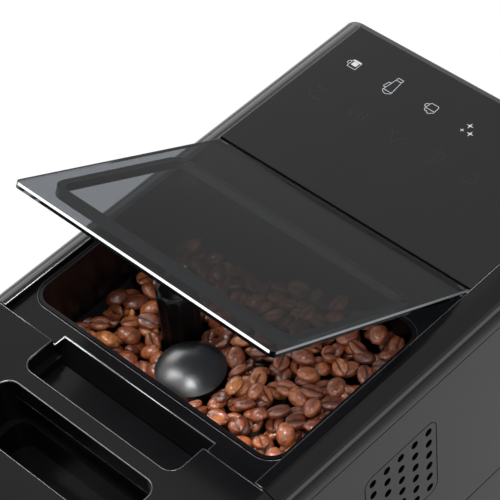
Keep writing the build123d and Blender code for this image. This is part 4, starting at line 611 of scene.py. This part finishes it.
def one_bean():
    """A bean: domed back, flatter face with a deep S-shaped crease, blunt ends."""
    bm = bmesh.new()
    bmesh.ops.create_uvsphere(bm, u_segments=BEAN_SEGMENTS, v_segments=BEAN_RINGS, radius=1.0)
    lengthwise = Matrix.Rotation(math.pi / 2, 3, "Y")
    bmesh.ops.rotate(bm, cent=(0, 0, 0), matrix=lengthwise, verts=bm.verts)
    # Marks the crease, which the bean finish darkens as painted shade
    crease = bm.verts.layers.float.new("crease")
    for v in bm.verts:
        x, y, z = v.co
        depth = 1.0 - abs(x) ** 4
        creased = z < 0 and abs(y) < CREASE_HALF_SHARE and depth > CREASE_SHORT_SHARE
        y *= BEAN_WIDE * (1 - BEAN_TAPER_SHARE * x)
        z *= BEAN_HIGH if z > 0 else BEAN_HIGH * BEAN_FACE_SHARE
        if creased:
            z += CREASE_DEPTH * depth
            y += CREASE_SWING * math.sin(CREASE_BEND * x)
            v[crease] = 1.0
        v.co = (x * BEAN_LONG, y, z)
    return bm


def bean_pose(rng, x, y, sink):
    """One bean's place, turn and size on the heap, face up or down."""
    rise = heap_height(x + SLOPE_REACH) - heap_height(x - SLOPE_REACH)
    slope = Matrix.Rotation(-math.atan2(rise, 2 * SLOPE_REACH), 4, "Y")
    spin = Matrix.Rotation(rng.uniform(0, 2 * math.pi), 4, "Z")
    flip = Matrix.Rotation(math.pi if rng.random() < FACE_UP_SHARE else 0.0, 4, "X")
    tilt = Matrix.Rotation(rng.gauss(0, ROLL_SPREAD), 4, "X")
    tilt @= Matrix.Rotation(rng.gauss(0, PITCH_SPREAD), 4, "Y")
    size = Matrix.Scale(rng.uniform(*BEAN_SIZES), 4)
    z = heap_height(x) - sink + rng.uniform(-HEIGHT_SPREAD, HEIGHT_SPREAD)
    return Matrix.Translation((x, y, z)) @ slope @ tilt @ spin @ flip @ size


def bean_places(rng, gap, tries):
    """Places in the tub, clear of its walls, the knob, the guard and each other."""
    laid = []
    for _ in range(tries):
        x = rng.uniform(TUB_X[0] + WALL_GAP, TUB_X[1] - WALL_GAP)
        y = rng.uniform(TUB_Y[0] + WALL_GAP, TUB_Y[1] - WALL_GAP)
        if math.hypot(x - KNOB_X, y - KNOB_Y) < KNOB_CLEAR_R + POST_GAP:
            continue
        if math.hypot(x - GUARD_X, y - GUARD_Y) < GUARD_CLEAR_R + POST_GAP:
            continue
        if any((x - a) ** 2 + (y - b) ** 2 < gap * gap for a, b in laid):
            continue
        laid.append((x, y))
        yield x, y


def loose_beans():
    """Beans laid over the heap in layers, each turned its own way."""
    rng = random.Random(BEAN_SEED)
    pattern = one_bean()
    crease = pattern.verts.layers.float["crease"]
    corners = [(v.co.copy(), v[crease]) for v in pattern.verts]
    faces = [[v.index for v in face.verts] for face in pattern.faces]
    pattern.free()
    heap = bmesh.new()
    roast_layer = heap.verts.layers.float.new("roast")
    crease_layer = heap.verts.layers.float.new("crease")
    for sink, gap, tries in BEAN_LAYERS:
        for x, y in bean_places(rng, gap, tries):
            pose = bean_pose(rng, x, y, sink)
            roast = rng.betavariate(*ROAST_SHAPE) * ROAST_RANGE
            roast += PALE_LIFT if rng.random() < PALE_SHARE else 0.0
            bean = [heap.verts.new(pose @ place) for place, _ in corners]
            over = max(0.0, max(vert.co.z for vert in bean) - BEANS_TOP)
            for vert, (_, fold) in zip(bean, corners):
                vert.co.z -= over
                vert[roast_layer] = min(roast, 1.0)
                vert[crease_layer] = fold
            for face in faces:
                heap.faces.new([bean[i] for i in face])
    return keep(heap, "loose_beans", FINISHES["roasted_bean"], smooth=True)


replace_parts(loose_beans(), "coffee_beans")


# Touch signs, each stroke a thin plate let into the panel's top
SIGN_LINE = 0.3
SIGN_PROUD, SIGN_SUNK = 0.03, 0.03
SIGN_STEP = 0.006
STAR_CORNERS, STAR_WAIST_SHARE = 8, 0.24


def sign_piece(name, strokes, place, ink):
    """Strokes drawn about a place; every other one is a step prouder, so that no two tops coincide."""
    x, y = place
    bm = bmesh.new()
    for index, stroke in enumerate(strokes):
        base = bm.faces.new([bm.verts.new((x + u, y + v, TOP - SIGN_SUNK)) for u, v in stroke])
        grown = bmesh.ops.extrude_face_region(bm, geom=[base])["geom"]
        corners = [part for part in grown if isinstance(part, bmesh.types.BMVert)]
        height = SIGN_SUNK + SIGN_PROUD + SIGN_STEP * (index % 2)
        bmesh.ops.translate(bm, vec=(0, 0, height), verts=corners)
    return keep(bm, name, ink)


def arc(rx, ry, start, end, steps):
    """Points on an ellipse about the sign's middle, between two angles in degrees."""
    angles = [math.radians(start + (end - start) * i / steps) for i in range(steps + 1)]
    return [(rx * math.cos(angle), ry * math.sin(angle)) for angle in angles]


def bar(x0, y0, x1, y1):
    return [(x0, y0), (x1, y0), (x1, y1), (x0, y1)]


def four_point_star(cx, cy, size):
    points = []
    for i in range(STAR_CORNERS):
        angle = 2 * math.pi * i / STAR_CORNERS
        radius = size if i % 2 == 0 else size * STAR_WAIST_SHARE
        points.append((cx + radius * math.cos(angle), cy + radius * math.sin(angle)))
    return points


def line(*points, closed=False):
    """One straight stroke between each two points in turn, as four corners."""
    if closed:
        points += points[:1]
    strokes = []
    for (x0, y0), (x1, y1) in zip(points, points[1:]):
        reach = SIGN_LINE / 2 / math.hypot(x1 - x0, y1 - y0)
        ux, uy = (x1 - x0) * reach, (y1 - y0) * reach
        strokes.append([
            (x0 - ux - uy, y0 - uy + ux), (x1 + ux - uy, y1 + uy + ux),
            (x1 + ux + uy, y1 + uy - ux), (x0 - ux + uy, y0 - uy - ux),
        ])
    return strokes


SMALL_CUP = (
    line((-2.8, 2.7), (-2.8, -2.7), (-2.3, -3.2), (2.3, -3.2), (2.8, -2.7), (2.8, 2.7), closed=True)
    + [bar(-1.7, -2.0, 1.7, 0.9), bar(-2.5, -3.2, 2.5, -2.2)]
    + line((2.8, 1.0), (3.9, 1.0), (4.4, 0.4), (4.4, -0.9), (3.9, -1.5), (2.8, -1.5))
)
LATTE_GLASS = (
    line((-2.8, 4.4), (-1.8, -4.7), (-1.8, -6.6), (1.8, -6.6), (1.8, -4.7), (2.8, 4.4), closed=True)
    + line((-1.8, -4.7), (1.8, -4.7))
    + line((-2.9, 4.4), (-2.7, 5.2), (-0.8, 6.5), (-0.3, 6.8), (1.6, 6.1), (2.8, 5.0), (2.9, 4.4))
    + line((2.7, 2.7), (4.3, 2.7), (4.3, 1.9), (3.8, -0.9), (3.4, -1.3), (2.2, -1.3))
)
FOAM_CUP = (
    line((-3.0, 1.0), (-2.7, -2.7), (-2.1, -3.3), (2.1, -3.3), (2.7, -2.7), (3.0, 1.0), closed=True)
    + line((2.8, 0.4), (4.0, 0.4), (4.6, -0.3), (4.6, -1.3), (4.0, -2.0), (2.8, -2.0))
    + line(
        (-3.0, 1.0), (-2.9, 1.9), (-1.8, 2.9), (-0.8, 3.9), (0.2, 3.5), (0.9, 2.6), (1.6, 3.1), (2.8, 2.2),
        (3.0, 1.0),
    )
)
SPARKLES = [four_point_star(2.1, 1.8, 1.5), four_point_star(0.8, -3.0, 2.3), four_point_star(-2.9, 1.5, 2.3)]
FAINT_TAP = (
    line((-4.0, 1.6), (-4.0, 3.4), (-3.0, 4.6), (2.6, 4.6), (3.8, 3.4), (3.8, 1.6))
    + line((-1.6, -1.2), (3.0, 0.6))
    + line((-2.6, -4.6), (0.8, -3.2), (4.4, -4.4))
)
FAINT_STEAM = (
    line((-5.0, 3.2), (-4.0, 0.8), (-4.6, -1.4), (-3.2, -3.8))
    + line((-1.6, 3.6), (-0.6, 1.0), (-1.4, -1.2), (-0.2, -3.8))
    + line((1.6, 3.4), (2.8, 2.2), (3.8, 3.0), (4.8, 0.8), (3.8, -1.4), (4.6, -3.8))
)
FAINT_PEAK = (
    line((-5.0, -3.2), (-1.6, 1.4), (-0.6, 4.4), (0.6, 4.4), (2.0, 1.0), (5.0, -3.2))
    + line((-3.6, -3.4), (3.8, -3.4))
)
FAINT_BEAN = (
    line(*arc(4.0, 5.6, 0, 345, 20), closed=True)
    + line((1.4, 5.0), (-0.6, 2.2), (0.8, -1.4), (-0.8, -5.0))
)
FAINT_RING = line(*arc(3.8, 3.8, 20, 320, 16)) + line((0, 1.4), (0, 5.4))

# Each sign's strokes, the place of its middle on the panel, and its ink
SIGNS = {
    "sign_small_cup": (SMALL_CUP, (67.2, -141.5), SIGN_WHITE),
    "sign_latte_glass": (LATTE_GLASS, (40.4, -141.6), SIGN_WHITE),
    "sign_foam_cup": (FOAM_CUP, (13.9, -141.2), SIGN_WHITE),
    "sign_sparkles": (SPARKLES, (-10.5, -140.8), SIGN_WHITE),
    "sign_faint_tap": (FAINT_TAP, (67.6, -114.0), SIGN_FAINT),
    "sign_faint_steam": (FAINT_STEAM, (40.6, -114.6), SIGN_FAINT),
    "sign_faint_peak": (FAINT_PEAK, (14.2, -114.0), SIGN_FAINT),
    "sign_faint_bean": (FAINT_BEAN, (-10.4, -115.2), SIGN_FAINT),
    "sign_faint_ring": (FAINT_RING, (-33.5, -114.6), SIGN_FAINT),
}
for sign, drawing in SIGNS.items():
    sign_piece(sign, *drawing)


# Floor, world and lamps, in metres and watts
FLOOR_HALF, FLOOR_DROP = 6.0, 0.0005
FLOOR_WHITE_SHARE = 0.95
WORLD_LIGHT, WORLD_SEEN = 0.5, 1.0


def studio_floor():
    """A matt floor that the camera sees almost wholly white."""
    bm = bmesh.new()
    bmesh.ops.create_grid(bm, x_segments=2, y_segments=2, size=FLOOR_HALF)
    mesh = bpy.data.meshes.new("studio_floor")
    bm.to_mesh(mesh)
    bm.free()
    floor = bpy.data.objects.new("studio_floor", mesh)
    floor.location.z = -FLOOR_DROP
    bpy.context.scene.collection.objects.link(floor)
    f = Finish("floor_white")
    matt = f.surface(Base_Color=rgb(225, 225, 225), Roughness=0.9, Specular_IOR_Level=0.1)
    white = f.node("ShaderNodeEmission", sockets={"Color": rgb(255, 255, 255), "Strength": 1.0})
    mesh.materials.append(f.finish(f.either(f.ray("Is Camera Ray") * FLOOR_WHITE_SHARE, matt, white)))


def studio_world():
    """White to the eye, in reflections and through clear plastic, softer as light."""
    f = Finish("studio", bpy.data.worlds)
    lit = f.node("ShaderNodeBackground", sockets={"Color": (0.96, 0.98, 1.0, 1.0), "Strength": WORLD_LIGHT})
    seen = f.node("ShaderNodeBackground", sockets={"Color": rgb(255, 255, 255), "Strength": WORLD_SEEN})
    watched = f.ray("Is Camera Ray").higher(f.ray("Is Transmission Ray")).higher(f.ray("Is Glossy Ray"))
    f.node("ShaderNodeOutputWorld", sockets={"Surface": f.either(watched, lit, seen)})
    bpy.context.scene.world = f.owner


def softbox(name, place, aim, size, power):
    data = bpy.data.lights.new(name, "AREA")
    data.shape = "RECTANGLE"
    data.size, data.size_y = size
    data.energy = power
    lamp = bpy.data.objects.new(name, data)
    lamp.location = place
    way = Vector(aim) - Vector(place)
    lamp.rotation_euler = way.to_track_quat("-Z", "Y").to_euler()
    bpy.context.scene.collection.objects.link(lamp)


studio_floor()
studio_world()
softbox("overhead_box", (-0.2, 0.26, 1.75), aim=(0.02, 0.05, 0.3), size=(0.45, 0.45), power=18.0)
softbox("rim_box", (0.87, 0.4, 1.7), aim=(0, 0.1, 0.3), size=(0.4, 1.0), power=13.0)
softbox("side_box", (1.6, -0.9, 1.0), aim=(0, 0, 0.25), size=(1.4, 1.0), power=14.0)
softbox("left_box", (-1.8, -0.95, 0.55), aim=(0, 0, 0.25), size=(1.3, 0.6), power=9.0)
softbox("rear_box", (-1.3, 1.2, 1.3), aim=(0, 0, 0.25), size=(1.2, 0.9), power=6.0)
bpy.context.scene.view_settings.view_transform = "Standard"
